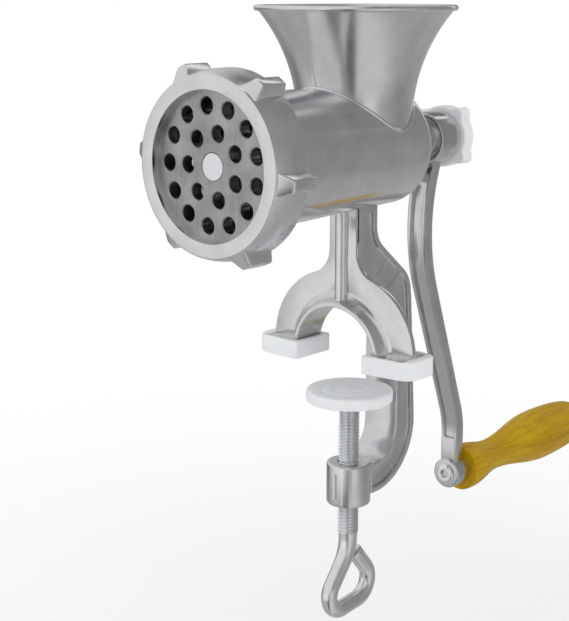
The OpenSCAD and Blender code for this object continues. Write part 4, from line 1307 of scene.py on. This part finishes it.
def panorama(*levels):
    """A ramp of greys over the compass, from pairs of an azimuth in degrees and a level."""
    return room.ramp(azimuth, *((degrees / 360 + 0.5, grey(level)) for degrees, level in levels))


horizon = panorama(
    (-180, 0.20), (-150, 0.62), (-131, 0.80), (-110, 0.85), (-85, 0.95), (-70, 0.60), (-60, 0.36),
    (-40, 0.42), (-30, 0.70), (-15, 0.70), (0, 0.45), (30, 0.30), (49, 0.27), (90, 0.36), (107, 0.40),
    (125, 0.44), (150, 0.30), (180, 0.20))
below = panorama(
    (-180, 0.40), (-120, 0.44), (-106, 0.42), (-101, 0.22), (-96, 0.25), (-91, 0.75), (-86, 0.75),
    (-82, 0.12), (-54, 0.14), (-47, 0.62), (0, 0.60), (30, 0.42), (60, 0.36), (107, 0.45), (125, 0.50),
    (180, 0.40))
high_room = room.ramp(east * 0.5 + 0.5, (0.10, grey(0.55)), (0.24, grey(0.42)), (0.33, grey(0.14)),
                      (0.42, grey(0.16)), (0.455, grey(1.4)), (0.485, grey(1.4)), (0.51, grey(0.15)),
                      (0.57, grey(0.24)), (0.80, grey(0.27)), (1.0, grey(0.34)))
front_sky = room.ramp(towards * 0.5 + 0.5, (0.42, grey(0.0)), (0.60, grey(1.0)))
sky = room.blend(front_sky, high_room, (0.75, 0.75, 0.75, 1))
low_room = room.blend(room.ramp(rise, (0.27, grey(0.0)), (0.35, grey(1.0))), below, horizon)
studio = room.blend(room.ramp(rise, (0.47, grey(0.0)), (0.60, grey(1.0))), low_room, sky)
paths = room.node("ShaderNodeLightPath").socket.node
seen, mirrored = (Wire(room, paths.outputs[name]) for name in ("Is Camera Ray", "Is Glossy Ray"))
tone = room.blend(mirrored, (AMBIENT, AMBIENT, AMBIENT, 1), studio)
background = room.tree.nodes["Background"]
room.feed(background.inputs["Color"], room.blend(seen, tone, (1, 1, 1, 1)))
background.inputs["Strength"].default_value = 1.0
print("ramps in the world:", sum(n.bl_idname == "ShaderNodeValToRGB" for n in room.tree.nodes))

# %% [markdown]
# ## The lamps
# Two large soft lamps shape the matt pieces: a key from the front left, high up, and a weaker fill from
# the right. They stay out of the mirror image, because a square lamp would leave a hard patch in it.

# %% Lamps
def lamp(name, place, aim, size, watts):
    """A soft square lamp at a place, turned towards a point, in metres."""
    light = bpy.data.lights.new(name, "AREA")
    light.shape = "RECTANGLE"
    light.size, light.size_y = size
    light.energy = watts
    obj = bpy.data.objects.new(name, light)
    obj.location = place
    obj.rotation_euler = (Vector(aim) - Vector(place)).to_track_quat("-Z", "Y").to_euler()
    obj.visible_glossy = False
    bpy.context.scene.collection.objects.link(obj)


lamp("key_lamp", (-0.60, -0.80, 0.80), (0, 0, 0.03), (1.0, 1.0), 3.2)
lamp("fill_lamp", (0.90, -0.45, 0.45), (0, 0, 0.03), (0.8, 0.8), 1.5)
print("lamps:", len(bpy.data.lights))

# %% Sizes, and the end
scene_box = [list(corner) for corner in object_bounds()]
grown = [round((abs(scene_box[i][k]) - abs(cad_box[i][k])) / MM, 2) for i in range(2) for k in range(3)]
print("growth of the box in mm:", grown)
bpy.context.scene.view_settings.view_transform = "Standard"
